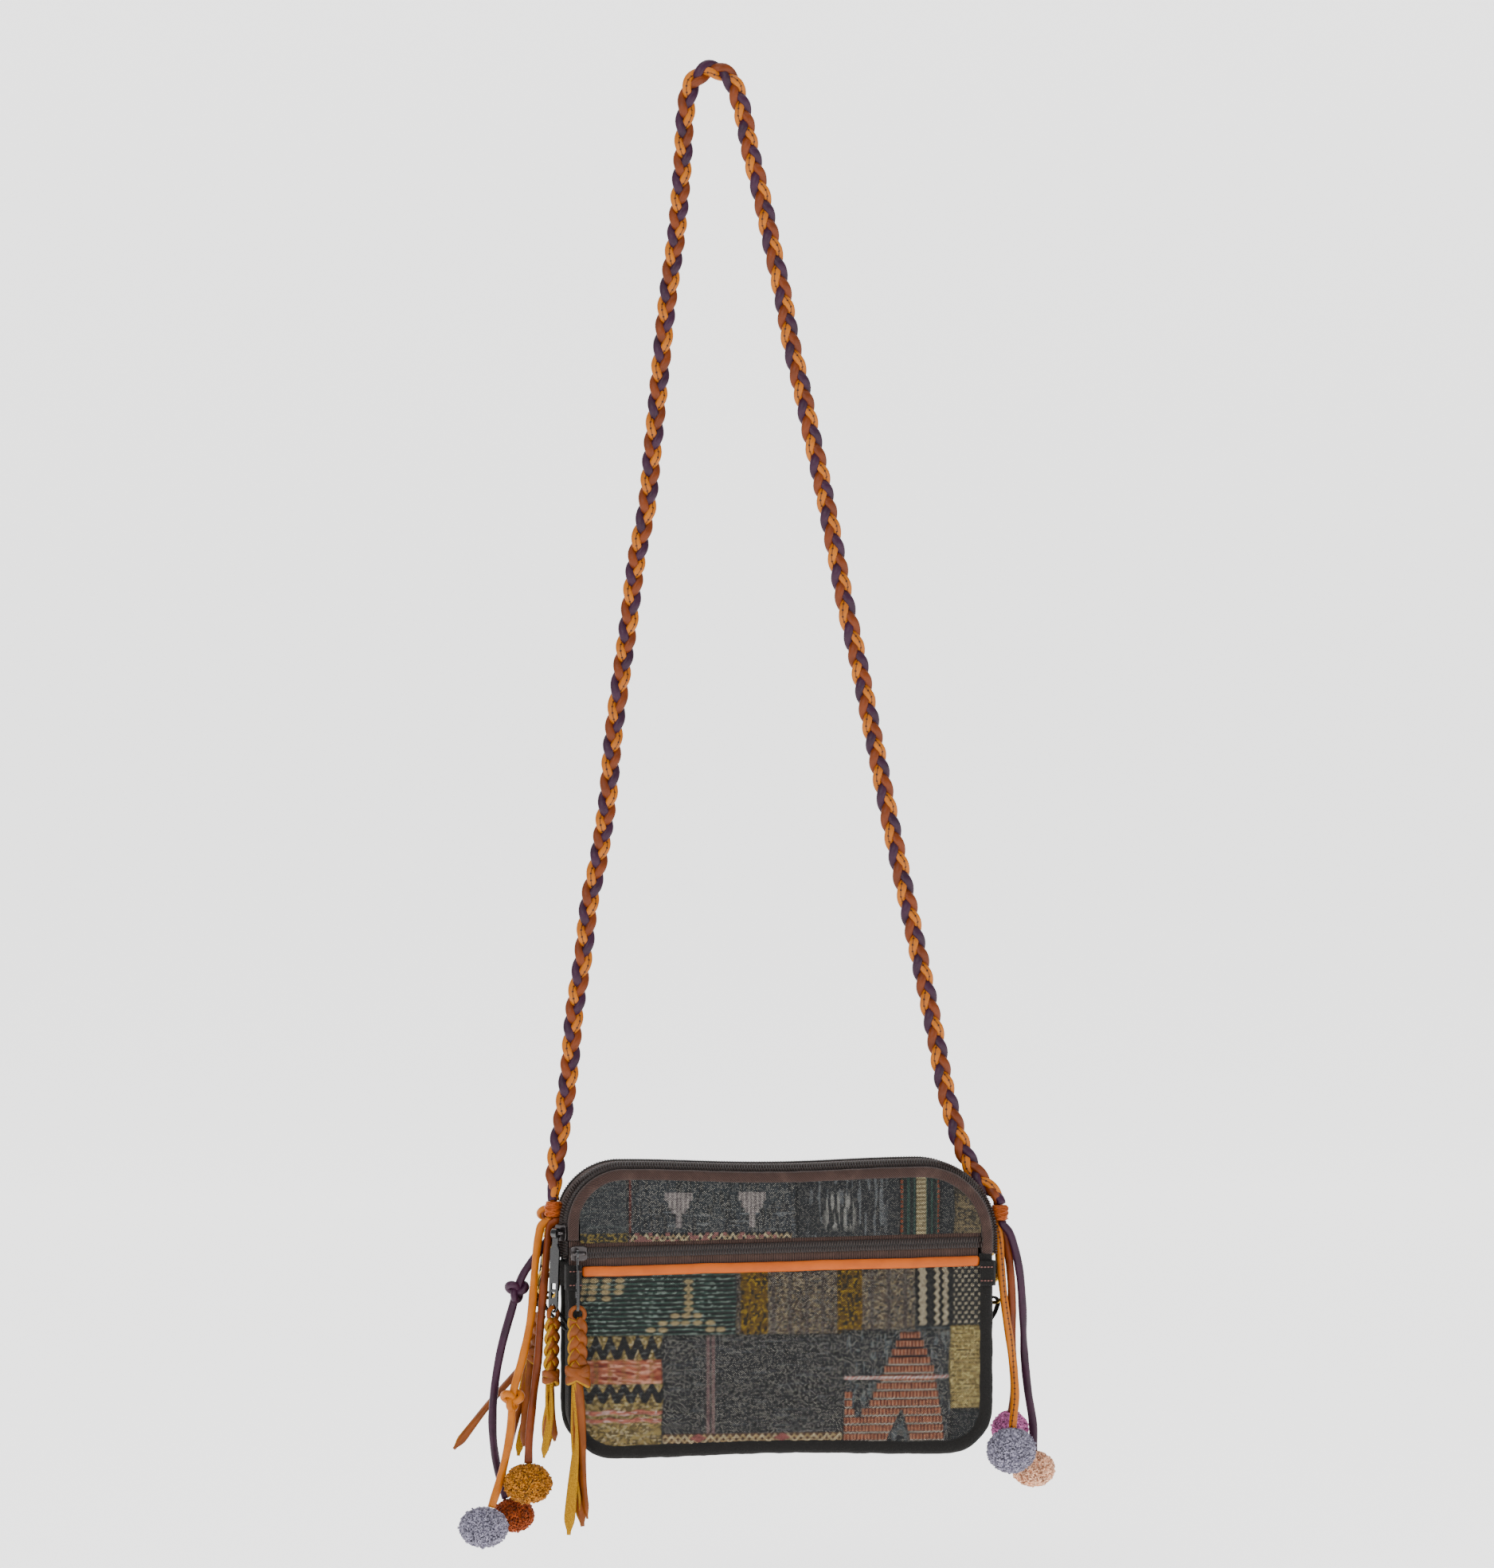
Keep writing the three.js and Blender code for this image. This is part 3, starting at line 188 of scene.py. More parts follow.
class Graph:
    """Builder of one material's node tree."""

    def __init__(self, name: str) -> None:
        """Starts an empty tree."""
        self.material = bpy.data.materials.new(name)
        self.material.use_nodes = True
        self.tree = self.material.node_tree
        self.tree.nodes.clear()
        self._coordinates: Socket | None = None

    def node(self, kind: str, inputs: dict[int | str, object] | None = None,
             output: int | str = 0, **settings: object) -> Socket:
        """Makes a node, sets or links its inputs and gives one output.

        Args:
            kind: Blender's name of the node type.
            inputs: Values or sockets by input index or name.
            output: Output to hand back.
            **settings: Properties of the node.

        Returns:
            The chosen output.
        """
        made = self.tree.nodes.new(kind)
        for key, value in settings.items():
            setattr(made, key, value)
        for key, value in (inputs or {}).items():
            if isinstance(value, Socket):
                self.tree.links.new(value.output, made.inputs[key])
            else:
                made.inputs[key].default_value = value
        return Socket(self, made.outputs[output])

    def math(self, op: Op, *values: "Socket | float") -> Socket:
        """Combines one or two values."""
        return self.node("ShaderNodeMath", dict(enumerate(values)), operation=op.value)

    def mix(self, factor: "Socket | float", first: object, second: object) -> Socket:
        """Blends two colours."""
        def colour(value: object) -> object:
            """Adds the alpha that a colour input wants."""
            return value if isinstance(value, Socket) else (*value, 1.0)
        return self.node("ShaderNodeMix", {0: factor, 6: colour(first), 7: colour(second)},
                         output=2, data_type="RGBA")

    def place(self) -> Socket:
        """Returns the object's own coordinates in millimetres."""
        if self._coordinates is None:
            own = self.node("ShaderNodeTexCoord", output="Object")
            self._coordinates = self.scaled(own, (1000.0, 1000.0, 1000.0))
        return self._coordinates

    def scaled(self, vector: Socket, factors: tuple[float, float, float]) -> Socket:
        """Stretches a vector along each axis."""
        return self.node("ShaderNodeVectorMath", {0: vector, 1: factors}, operation="MULTIPLY")

    def axis(self, vector: Socket, index: int) -> Socket:
        """Takes one component of a vector."""
        return self.node("ShaderNodeSeparateXYZ", {0: vector}, output=index)

    def uv(self) -> Socket:
        """Returns the length along and the way round of a swept piece, in millimetres."""
        return self.node("ShaderNodeUVMap", uv_map="UVMap")

    def attribute(self, name: str, output: str = "Fac") -> Socket:
        """Reads a value stored on the mesh."""
        return self.node("ShaderNodeAttribute", output=output, attribute_name=name)

    def noise(self, scale: float, detail: float = 3.0, vector: Socket | None = None) -> Socket:
        """Returns smooth noise from 0 to 1, scale being cells for each millimetre."""
        source = vector or self.place()
        return self.node("ShaderNodeTexNoise", {"Vector": source, "Scale": scale, "Detail": detail})

    def cell_chance(self, across: Socket, up: Socket) -> Socket:
        """Returns a random value from 0 to 1, the same all over each unit cell."""
        column = self.math(Op.FLOOR, across)
        row = self.math(Op.FLOOR, up)
        cell = self.node("ShaderNodeCombineXYZ", {0: column, 1: row})
        return self.node("ShaderNodeTexWhiteNoise", {"Vector": cell}, noise_dimensions="2D")

    def bump(self, height: Socket, strength: float, distance: float = 0.5 * MM) -> Socket:
        """Turns a height into a surface normal."""
        return self.node("ShaderNodeBump", {"Height": height, "Strength": strength, "Distance": distance},
                         output="Normal")

    def finish(self, base: object, roughness: "Socket | float", normal: Socket | None = None,
               **constants: object) -> Material:
        """Closes the tree with the surface shader.

        Args:
            base: Colour, fixed or varying.
            roughness: Roughness, fixed or varying.
            normal: Surface normal, if any.
            **constants: Other shader inputs, with spaces as underscores.

        Returns:
            The finished material.
        """
        inputs: dict[int | str, object] = {
            "Base Color": base if isinstance(base, Socket) else (*base, 1.0), "Roughness": roughness}
        if normal is not None:
            inputs["Normal"] = normal
        for key, value in constants.items():
            inputs[key.replace("_", " ")] = value
        surface = self.node("ShaderNodeBsdfPrincipled", inputs)
        target = self.tree.nodes.new("ShaderNodeOutputMaterial")
        self.tree.links.new(surface.output, target.inputs["Surface"])
        if isinstance(base, tuple):
            self.material.diffuse_color = (*base, 1.0)
        return self.material


MADE: dict["Finish", Material] = {}


@dataclass(frozen=True)
class Finish(ABC):
    """A surface finish that makes its material once."""

    name: str
    slot: str

    @abstractmethod
    def shade(self, graph: Graph) -> Material:
        """Fills a node tree with this finish."""

    def material(self) -> Material:
        """Returns this finish's material, made on first use."""
        if self not in MADE:
            MADE[self] = self.shade(Graph(self.name))
        return MADE[self]


@dataclass(frozen=True)
class Woven(Finish):
    """Handwoven cloth whose pattern is stored on the mesh as tint and fleck.

    Threads cross every warp and weft millimetres. Their tops are the product of two sines.
    """

    warp: float = 0.62
    weft: float = 0.5

    def shade(self, graph: Graph) -> Material:
        """Mixes dye, shade and flecks by the row, the crossing and the height of the thread."""
        place = graph.place()
        across, up = graph.axis(place, 0), graph.axis(place, 2)
        wander = graph.noise(0.12, 2.0) * 2.2
        ends, picks = (across + wander) / self.warp, (up + wander * 0.6) / self.weft
        top = ((ends * math.pi).sine() * (picks * math.pi).sine()).ramp(-0.25, 0.7)
        chance = graph.cell_chance(ends, picks)
        row = graph.noise(1.0, 2.0, graph.scaled(place, (0.1, 0.1, 1.2)))
        tint = graph.attribute("tint", "Color")
        fleck = graph.attribute("fleck")
        shaded = graph.mix(row.ramp(0.35, 0.7) * 0.4, tint, rgb("#121315"))
        dyed = graph.mix((1 - chance).ramp(0.35, 1.0) * 0.5, shaded, rgb("#0B0C0D"))
        # Partly pale fleck yarn and partly a painted highlight: the flecks show only on the raised thread
        # tops.
        light = chance.ramp(0.25, 1.0) * fleck.ramp(0.0, 0.7) * row.ramp(0.2, 0.6) * top
        pale = graph.mix(light * 0.62, dyed, rgb("#A8A398"))
        # Painted shade: the cloth is darkened between the thread tops, where the weave sinks.
        deep = graph.mix((1 - top) * 0.8, pale, rgb("#070707"))
        height = top * 0.8 + row * 0.4 + chance * 0.25
        return graph.finish(deep, 0.95, graph.bump(height, 0.8, 0.6 * MM),
                            Sheen_Weight=0.08, Sheen_Roughness=0.6, Specular_IOR_Level=0.15)


@dataclass(frozen=True)
class PlainCloth(Finish):
    """Plain cloth of one colour with a fine even weave."""

    colour: str = "#2B2725"

    def shade(self, graph: Graph) -> Material:
        """Raises threads where two sines meet."""
        place = graph.place()
        threads = ((graph.axis(place, 0) * 7.0).sine() * (graph.axis(place, 2) * 7.0).sine())
        patchy = graph.noise(0.15)
        base = graph.mix(patchy * 0.5, rgb(self.colour), rgb("#151312"))
        return graph.finish(base, 0.9, graph.bump(threads, 0.3, 0.3 * MM), Sheen_Weight=0.2)


@dataclass(frozen=True)
class Twill(Finish):
    """Woven tape with diagonal ribs along its length."""

    colour: str = "#422F29"
    rib: float = 1.25
    slant: float = 0.9

    def shade(self, graph: Graph) -> Material:
        """Raises ribs by the sine of the length plus slant times the way round."""
        uv = graph.uv()
        along, round_ = graph.axis(uv, 0), graph.axis(uv, 1)
        ribs = ((along + round_ * self.slant) * (2 * math.pi / self.rib)).sine()
        fuzz = graph.noise(1.6, 4.0)
        # Painted shade: the troughs between the ribs are coloured dark and the crests keep the tape's
        # colour.
        base = graph.mix((ribs * 0.5 + 0.5).ramp(0.1, 0.9), rgb("#1E1614"), rgb(self.colour))
        worn = graph.mix(graph.noise(0.12).ramp(0.45, 0.8) * 0.25, base, rgb("#5E4A42"))
        height = ribs * 0.6 + fuzz * 0.7
        return graph.finish(worn, 0.88, graph.bump(height, 0.55, 0.45 * MM),
                            Sheen_Weight=0.1, Specular_IOR_Level=0.2)


@dataclass(frozen=True)
class Felt(Finish):
    """Thick matt felt with loose fibres."""

    colour: str = "#181716"

    def shade(self, graph: Graph) -> Material:
        """Scatters lint over the ground."""
        fibres = graph.noise(1.9, 5.0)
        lint = graph.noise(0.9, 4.0, graph.scaled(graph.place(), (1.0, 1.0, 2.2)))
        base = graph.mix(lint.ramp(0.55, 0.75) * 0.35, rgb(self.colour), rgb("#34322F"))
        return graph.finish(base, 0.97, graph.bump(fibres, 0.75, 0.8 * MM),
                            Sheen_Weight=0.1, Specular_IOR_Level=0.12)


@dataclass(frozen=True)
class Nylon(Finish):
    """Nylon of the zip coil, each loop catching a little light."""

    colour: str = "#2E2420"

    def shade(self, graph: Graph) -> Material:
        """Dulls the nylon with grime."""
        grime = graph.noise(0.5, 3.0)
        base = graph.mix(grime.ramp(0.35, 0.7) * 0.55, rgb(self.colour), rgb("#1E1613"))
        return graph.finish(base, grime * 0.2 + 0.28, graph.bump(graph.noise(3.0), 0.15),
                            Specular_IOR_Level=0.4)


@dataclass(frozen=True)
class Leather(Finish):
    """Leather with grain, wear along its edges and a soft shine."""

    colour: str = "#B05A1E"
    deep: str = "#6E2F0C"
    rough: float = 0.42
    grain: float = 0.35
    coat: float = 0.08
    stitched: bool = False

    def shade(self, graph: Graph) -> Material:
        """Clouds the colour and, if stitched, sinks a seam with holes."""
        pores = graph.noise(2.4, 4.0)
        cloud = graph.noise(0.11, 3.0)
        base = graph.mix(cloud.ramp(0.35, 0.72) * 0.55, rgb(self.colour), rgb(self.deep))
        height = pores
        if self.stitched:
            uv = graph.uv()
            along, round_ = graph.axis(uv, 0), graph.axis(uv, 1)
            off = graph.math(Op.ABSOLUTE, round_ - 3.4)
            seam = (0.42 - off).ramp(0.0, 0.2)
            hole = (((along * (2 * math.pi / 3.1)).sine()).ramp(0.55, 0.85) * (0.75 - off).ramp(0.0, 0.3))
            dark = graph.math(Op.MAXIMUM, seam * 0.75, hole)
            base = graph.mix(dark, base, rgb("#2A1206"))
            height = pores - dark * 2.5
        rough = pores * 0.25 + (self.rough - 0.1)
        return graph.finish(base, rough, graph.bump(height, self.grain, 0.35 * MM),
                            Coat_Weight=self.coat, Coat_Roughness=0.35, Specular_IOR_Level=0.2)


@dataclass(frozen=True)
class Suede(Finish):
    """Cut edge and back of the leather, pale and fibrous."""

    colour: str = "#AA7E2C"

    def shade(self, graph: Graph) -> Material:
        """Mixes two tones by the nap."""
        nap = graph.noise(2.2, 5.0)
        base = graph.mix(nap.ramp(0.3, 0.7), rgb("#765018"), rgb(self.colour))
        return graph.finish(base, 0.9, graph.bump(nap, 0.6, 0.5 * MM), Sheen_Weight=0.03,
                            Specular_IOR_Level=0.15)


@dataclass(frozen=True)
class Metal(Finish):
    """Cast or plated metal with faint scuffs."""

    colour: str = "#C8A14E"
    rough: float = 0.2

    def shade(self, graph: Graph) -> Material:
        """Tarnishes and scuffs the metal."""
        scuff = graph.noise(1.4, 4.0)
        tarnish = graph.noise(0.35, 3.0)
        base = graph.mix(tarnish.ramp(0.5, 0.8) * 0.5, rgb(self.colour), rgb("#5E4A22"))
        return graph.finish(base, scuff * 0.18 + self.rough, graph.bump(scuff, 0.08), Metallic=1.0)


@dataclass(frozen=True)
class Gloss(Finish):
    """Glossy moulded surface with fine scratches."""

    colour: str = "#060607"
    rough: float = 0.08
    metallic: float = 0.0

    def shade(self, graph: Graph) -> Material:
        """Smears the gloss a little."""
        smear = graph.noise(0.8, 4.0)
        base = graph.mix(smear.ramp(0.5, 0.9) * 0.12, rgb(self.colour), rgb("#3A3A3E"))
        return graph.finish(base, smear * 0.15 + self.rough, graph.bump(smear, 0.05),
                            Metallic=self.metallic, Coat_Weight=0.4)


@dataclass(frozen=True)
class Wool(Finish):
    """Soft yarn of a pompom."""

    colour: str = "#8A8696"

    def shade(self, graph: Graph) -> Material:
        """Mixes a dark and a pale tone by the tuft."""
        tuft = graph.noise(0.4, 3.0)
        shade = tuple(c * 0.5 for c in rgb(self.colour))
        pale = tuple(min(1.0, c * 1.3 + 0.01) for c in rgb(self.colour))
        base = graph.mix(tuft.ramp(0.3, 0.7), shade, pale)
        return graph.finish(base, 0.95, graph.bump(graph.noise(3.0), 0.4),
                            Sheen_Weight=0.12, Specular_IOR_Level=0.1)


@dataclass(frozen=True)
class Paper(Finish):
    """Pale backdrop paper that glows a little."""

    def shade(self, graph: Graph) -> Material:
        """Clouds the paper faintly."""
        base = graph.mix(graph.noise(0.01) * 0.2, rgb("#F4F3F1"), rgb("#ECEAE7"))
        return graph.finish(base, 0.9, Emission_Color=(1.0, 1.0, 1.0, 1.0), Emission_Strength=1.5)


WEAVE = Woven("handwoven_cloth", "weave")
LINING = PlainCloth("lining_cloth", "lining")
TWILL = Twill("twill_tape", "twill")
TAPE = Twill("zip_tape", "twill", colour="#54413A", rib=1.0, slant=0.0)
FELT = Felt("black_felt", "felt")
COIL = Nylon("zip_coil", "coil")
COIL_CORE = Nylon("zip_core", "coil", colour="#231C1B")
TRIM = Leather("trim_leather", "trim", colour="#A8520E", deep="#8E4208", rough=0.4, coat=0.12)
GUNMETAL = Gloss("slider_metal", "slider_metal", colour="#3A3535", rough=0.22, metallic=0.85)
GLOSS = Gloss("gloss_tab", "gloss_tab")
PULL = Leather("pull_leather", "pull_leather", colour="#743C0A", deep="#4A2404")
SUEDE = Suede("pull_suede", "pull_leather")
BRASS = Metal("brass", "brass")
WAXED = Leather("waxed_cord", "waxed_cord", colour="#9A4A06", deep="#6A3004", rough=0.45)
MUSTARD = Leather("mustard_leather", "mustard_leather", colour="#A45E00", deep="#864800")
MUSTARD_SEAM = Leather("mustard_seamed", "mustard_leather", colour="#A45E00", deep="#864800", stitched=True)
RUST = Leather("rust_leather", "rust_leather", colour="#662E08", deep="#421A04")
PURPLE = Leather("purple_leather", "purple_leather", colour="#301328", deep="#190A15")


def grid_faces(rows: int, columns: int, closed: bool = False) -> list[list[int]]:
    """Faces of a grid of points."""
    across = np.arange(columns if closed else columns - 1)
    down = np.arange(rows - 1)[:, None]
    first = down * columns + across
    second = down * columns + (across + 1) % columns
    quads = np.stack([first, second, second + columns, first + columns], axis=-1)
    return quads.reshape(-1, 4).tolist()


@dataclass
class Shape:
    """Points, faces and map of a mesh being gathered, in millimetres."""

    points: Array
    faces: list[list[int]]
    uv: Array
    slots: list[int]

    @staticmethod
    def gather(parts: Sequence["Shape"]) -> "Shape":
        """Joins several shapes into one."""
        offsets = np.cumsum([0] + [len(p.points) for p in parts])
        faces = [[i + int(o) for i in face] for p, o in zip(parts, offsets) for face in p.faces]
        return Shape(np.concatenate([p.points for p in parts]), faces,
                     np.concatenate([p.uv for p in parts]), [s for p in parts for s in p.slots])

    def with_slot(self, slot: int) -> "Shape":
        """Returns a copy whose faces use one material."""
        return Shape(self.points, self.faces, self.uv, [slot] * len(self.faces))


def add_piece(name: str, shape: Shape, finishes: Sequence[Finish], stands_for: Sequence[str] = (),
              body: str = "root", smooth: bool = True,
              stored: dict[str, Array] | None = None) -> bpy.types.Object:
    """Makes an object of a shape, rides it on its body, hides what it replaces and logs it.

    Args:
        name: Name of the piece.
        shape: Its points and faces, in millimetres.
        finishes: Finishes in the order of the shape's material numbers.
        stands_for: CAD nodes that it replaces.
        body: Body that it moves with.
        smooth: Whether its faces are shaded smooth.
        stored: Values to keep on the points, by name.

    Returns:
        The new object.
    """
    mesh = bpy.data.meshes.new(name)
    mesh.from_pydata((shape.points * MM).tolist(), [], shape.faces)
    corners = np.empty(len(mesh.loops), dtype=np.int32)
    mesh.loops.foreach_get("vertex_index", corners)
    layer = mesh.uv_layers.new(name="UVMap")
    layer.data.foreach_set("uv", shape.uv[corners].astype(np.float32).ravel())
    for key, values in (stored or {}).items():
        kind = "FLOAT_COLOR" if values.ndim == 2 else "FLOAT"
        target = mesh.attributes.new(key, kind, "POINT")
        if values.ndim == 2:
            full = np.concatenate([values, np.ones((len(values), 1))], axis=1)
            target.data.foreach_set("color", full.astype(np.float32).ravel())
        else:
            target.data.foreach_set("value", values.astype(np.float32))
    mesh.polygons.foreach_set("material_index", np.asarray(shape.slots, dtype=np.int32))
    mesh.polygons.foreach_set("use_smooth", [smooth] * len(mesh.polygons))
    mesh.update()
    for finish in finishes:
        mesh.materials.append(finish.material())
    piece = bpy.data.objects.new(name, mesh)
    bpy.context.scene.collection.objects.link(piece)
    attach(piece, body)
    if stands_for:
        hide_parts(*stands_for)
    LOG.info("piece %s on %s, %d points", name, body, len(shape.points))
    return piece


@dataclass(frozen=True)
class Named(Assembly):
    """Assembly whose pieces, nodes and bodies all start with its name."""

    name: str

    def add(self, piece: str, shape: Shape, finishes: Sequence[Finish], node: str,
            body: str | None = None, smooth: bool = True) -> bpy.types.Object:
        """Makes one of its pieces over one of its nodes, on its own body or on the root."""
        return add_piece(f"{self.name}_{piece}", shape, finishes, [f"{self.name}_{node}"],
                         f"{self.name}_{body}" if body else "root", smooth)


def columns(*parts: Array) -> Array:
    """Points whose coordinates are the given arrays."""
    return np.stack(parts, axis=1)


def unit(vectors: Array) -> Array:
    """Scales each vector to length one."""
    return vectors / np.maximum(np.linalg.norm(vectors, axis=-1, keepdims=True), 1e-9)


def round_section(width: float, depth: float, sides: int, power: float = 2.0) -> Array:
    """Rounded closed section: cosine and sine, each raised to 2 / power, scaled to its half sizes."""
    angle = 2 * math.pi * np.arange(sides) / sides
    cosine, sine = np.cos(angle), np.sin(angle)
    shrink = 2 / power
    return columns(width / 2 * np.sign(cosine) * np.abs(cosine) ** shrink,
                   depth / 2 * np.sign(sine) * np.abs(sine) ** shrink)


def smooth_route(points: Sequence[Sequence[float]], step: float) -> Array:
    """Even points along a cubic curve through some points, its slopes taken from their neighbours."""
    knots = np.asarray(points, dtype=float)
    gaps = np.sqrt(np.linalg.norm(np.diff(knots, axis=0), axis=1))
    times = np.concatenate([[0.0], np.cumsum(gaps)])
    slopes = np.gradient(knots, times, axis=0)
    pieces = []
    for i in range(len(knots) - 1):
        t = np.linspace(0, 1, 24, endpoint=i == len(knots) - 2)[:, None]
        span = times[i + 1] - times[i]
        pieces.append((2 * t**3 - 3 * t**2 + 1) * knots[i] + (t**3 - 2 * t**2 + t) * span * slopes[i]
                      + (-2 * t**3 + 3 * t**2) * knots[i + 1] + (t**3 - t**2) * span * slopes[i + 1])
    return evenly(np.concatenate(pieces), step)


def evenly(points: Array, step: float) -> Array:
    """Spaces points evenly along a line of points, by their share of its length."""
    gaps = np.linalg.norm(np.diff(points, axis=0), axis=1)
    along = np.concatenate([[0.0], np.cumsum(gaps)])
    count = max(2, int(round(along[-1] / step)) + 1)
    wanted = np.linspace(0, along[-1], count)
    return np.stack([np.interp(wanted, along, points[:, k]) for k in range(3)], axis=1)


def travelled(points: Array) -> Array:
    """Length of a line of points up to each of them."""
    return np.concatenate([[0.0], np.cumsum(np.linalg.norm(np.diff(points, axis=0), axis=1))])


def sweep(path: Array, section: Array, facing: Array | Sequence[float] = (0.0, -1.0, 0.0),
          swell: Array | None = None, slot: int = 0, capped: bool = True) -> Shape:
    """Sweeps a section along a path: each point is the path's, plus the section's pair along
    the directions sideways and outward there.

    Args:
        path: Points of the path.
        section: Pairs of sideways and outward distances, one section or one for each point.
        facing: Direction that the section's second axis looks, fixed or for each point.
        swell: Factor on the section at each point.
        slot: Material number of the faces.
        capped: Whether the ends are closed.

    Returns:
        The swept shape.
    """
    tangent = unit(np.gradient(path, axis=0))
    look = np.broadcast_to(np.asarray(facing, dtype=float), path.shape)
    side = unit(np.cross(tangent, look))
    front = unit(np.cross(side, tangent))
    sections = np.broadcast_to(section, (len(path), section.shape[-2], 2))
    if swell is not None:
        sections = sections * swell[:, None, None]
    points = (path[:, None] + side[:, None] * sections[..., :1] + front[:, None] * sections[..., 1:])
    count = section.shape[-2]
    girth = np.linalg.norm(np.diff(sections[0], axis=0, append=sections[0][:1]), axis=1)
    round_ = np.concatenate([[0.0], np.cumsum(girth[:-1])])
    uv = np.stack(np.broadcast_arrays(travelled(path)[:, None], round_[None]), axis=-1)
    faces = grid_faces(len(path), count, closed=True)
    if capped:
        last = (len(path) - 1) * count
        faces += [list(range(count))[::-1], [last + i for i in range(count)]]
    return Shape(points.reshape(-1, 3), faces, uv.reshape(-1, 2), [slot] * len(faces))


def tube(path: Array, radius: float, sides: int = 10, slot: int = 0) -> Shape:
    """Round tube along a path, its facing carried from point to point square to the path."""
    tangent = unit(np.gradient(path, axis=0))
    facing = np.empty_like(path)
    guess = np.cross(tangent[0], (0.3, -0.9, 0.2))
    for i, direction in enumerate(tangent):
        guess = guess - direction * guess.dot(direction)
        guess = guess / np.linalg.norm(guess)
        facing[i] = guess
    return sweep(path, round_section(2 * radius, 2 * radius, sides), facing, slot=slot)


def ring_path(centre: Sequence[float], first: Sequence[float], second: Sequence[float],
              count: int) -> Array:
    """Points of a circle: its centre plus cosine and sine of two radius vectors."""
    angle = np.linspace(0, 2 * math.pi, count)[:, None]
    return np.asarray(centre) + np.cos(angle) * np.asarray(first) + np.sin(angle) * np.asarray(second)


def ball(centre: Sequence[float], radii: Sequence[float], rows: int = 12, sides: int = 16,
         slot: int = 0) -> Shape:
    """Ellipsoid with closed poles: sines and cosines of two angles times its radii."""
    tilt = np.linspace(0.02, math.pi - 0.02, rows)[:, None]
    turn = 2 * math.pi * np.arange(sides) / sides
    points = np.stack([np.sin(tilt) * np.cos(turn), np.sin(tilt) * np.sin(turn),
                       np.cos(tilt) + 0 * turn], axis=-1) * np.asarray(radii) + np.asarray(centre)
    faces = grid_faces(rows, sides, closed=True)
    faces += [list(range(sides))[::-1], [(rows - 1) * sides + i for i in range(sides)]]
    flat = points.reshape(-1, 3)
    return Shape(flat, faces, flat[:, :2].copy(), [slot] * len(faces))


def ripple(along: Array, seed: int, size: float, wave: float) -> Array:
    """Gentle seeded wandering along a length, the sum of four sines."""
    source = np.random.default_rng(seed)
    total = np.zeros_like(along, dtype=float)
    for octave in range(1, 5):
        phase = source.uniform(0, 2 * math.pi)
        rate = source.uniform(0.7, 1.3) * octave * 2 * math.pi / wave
        total += np.sin(along * rate + phase) / octave
    return total * size / 1.6


def value_noise(x: Array, z: Array, seed: int) -> Array:
    """Seeded noise from 0 to 1 over a plane, a smooth blend between random corner values."""
    lattice = np.random.default_rng(seed).random((64, 64))
    xi, zi = np.floor(x).astype(int), np.floor(z).astype(int)
    fx, fz = x - xi, z - zi
    fx, fz = fx * fx * (3 - 2 * fx), fz * fz * (3 - 2 * fz)
    def corner(a: int, b: int) -> Array:
        """Value at a corner of each cell."""
        return lattice[(xi + a) % 64, (zi + b) % 64]
    low = corner(0, 0) * (1 - fx) + corner(1, 0) * fx
    high = corner(0, 1) * (1 - fx) + corner(1, 1) * fx
    return low * (1 - fz) + high * fz


@dataclass(frozen=True)
class Station:
    """Points of the bag's outline with the direction out of it."""

    x: Array
    z: Array
    out_x: Array
    out_z: Array

    def path(self, out: float | Array, y: float | Array) -> Array:
        """Points a distance outside the outline, at a depth."""
        depth = np.broadcast_to(np.asarray(y, dtype=float), self.x.shape)
        return columns(self.x + self.out_x * out + BAG_X, depth, self.z + self.out_z * out)

    def band(self, section: Callable[[Array], Array] | Array) -> Array:
        """Grid of points of a section of [out, y] pairs laid at each station."""
        pairs = section(self.out_x) if callable(section) else section
        pairs = np.broadcast_to(pairs, (len(self.x), *np.shape(pairs)[-2:]))
        out, y = pairs[..., 0], pairs[..., 1]
        return np.stack([self.x[:, None] + self.out_x[:, None] * out + BAG_X, y,
                         self.z[:, None] + self.out_z[:, None] * out], axis=-1)


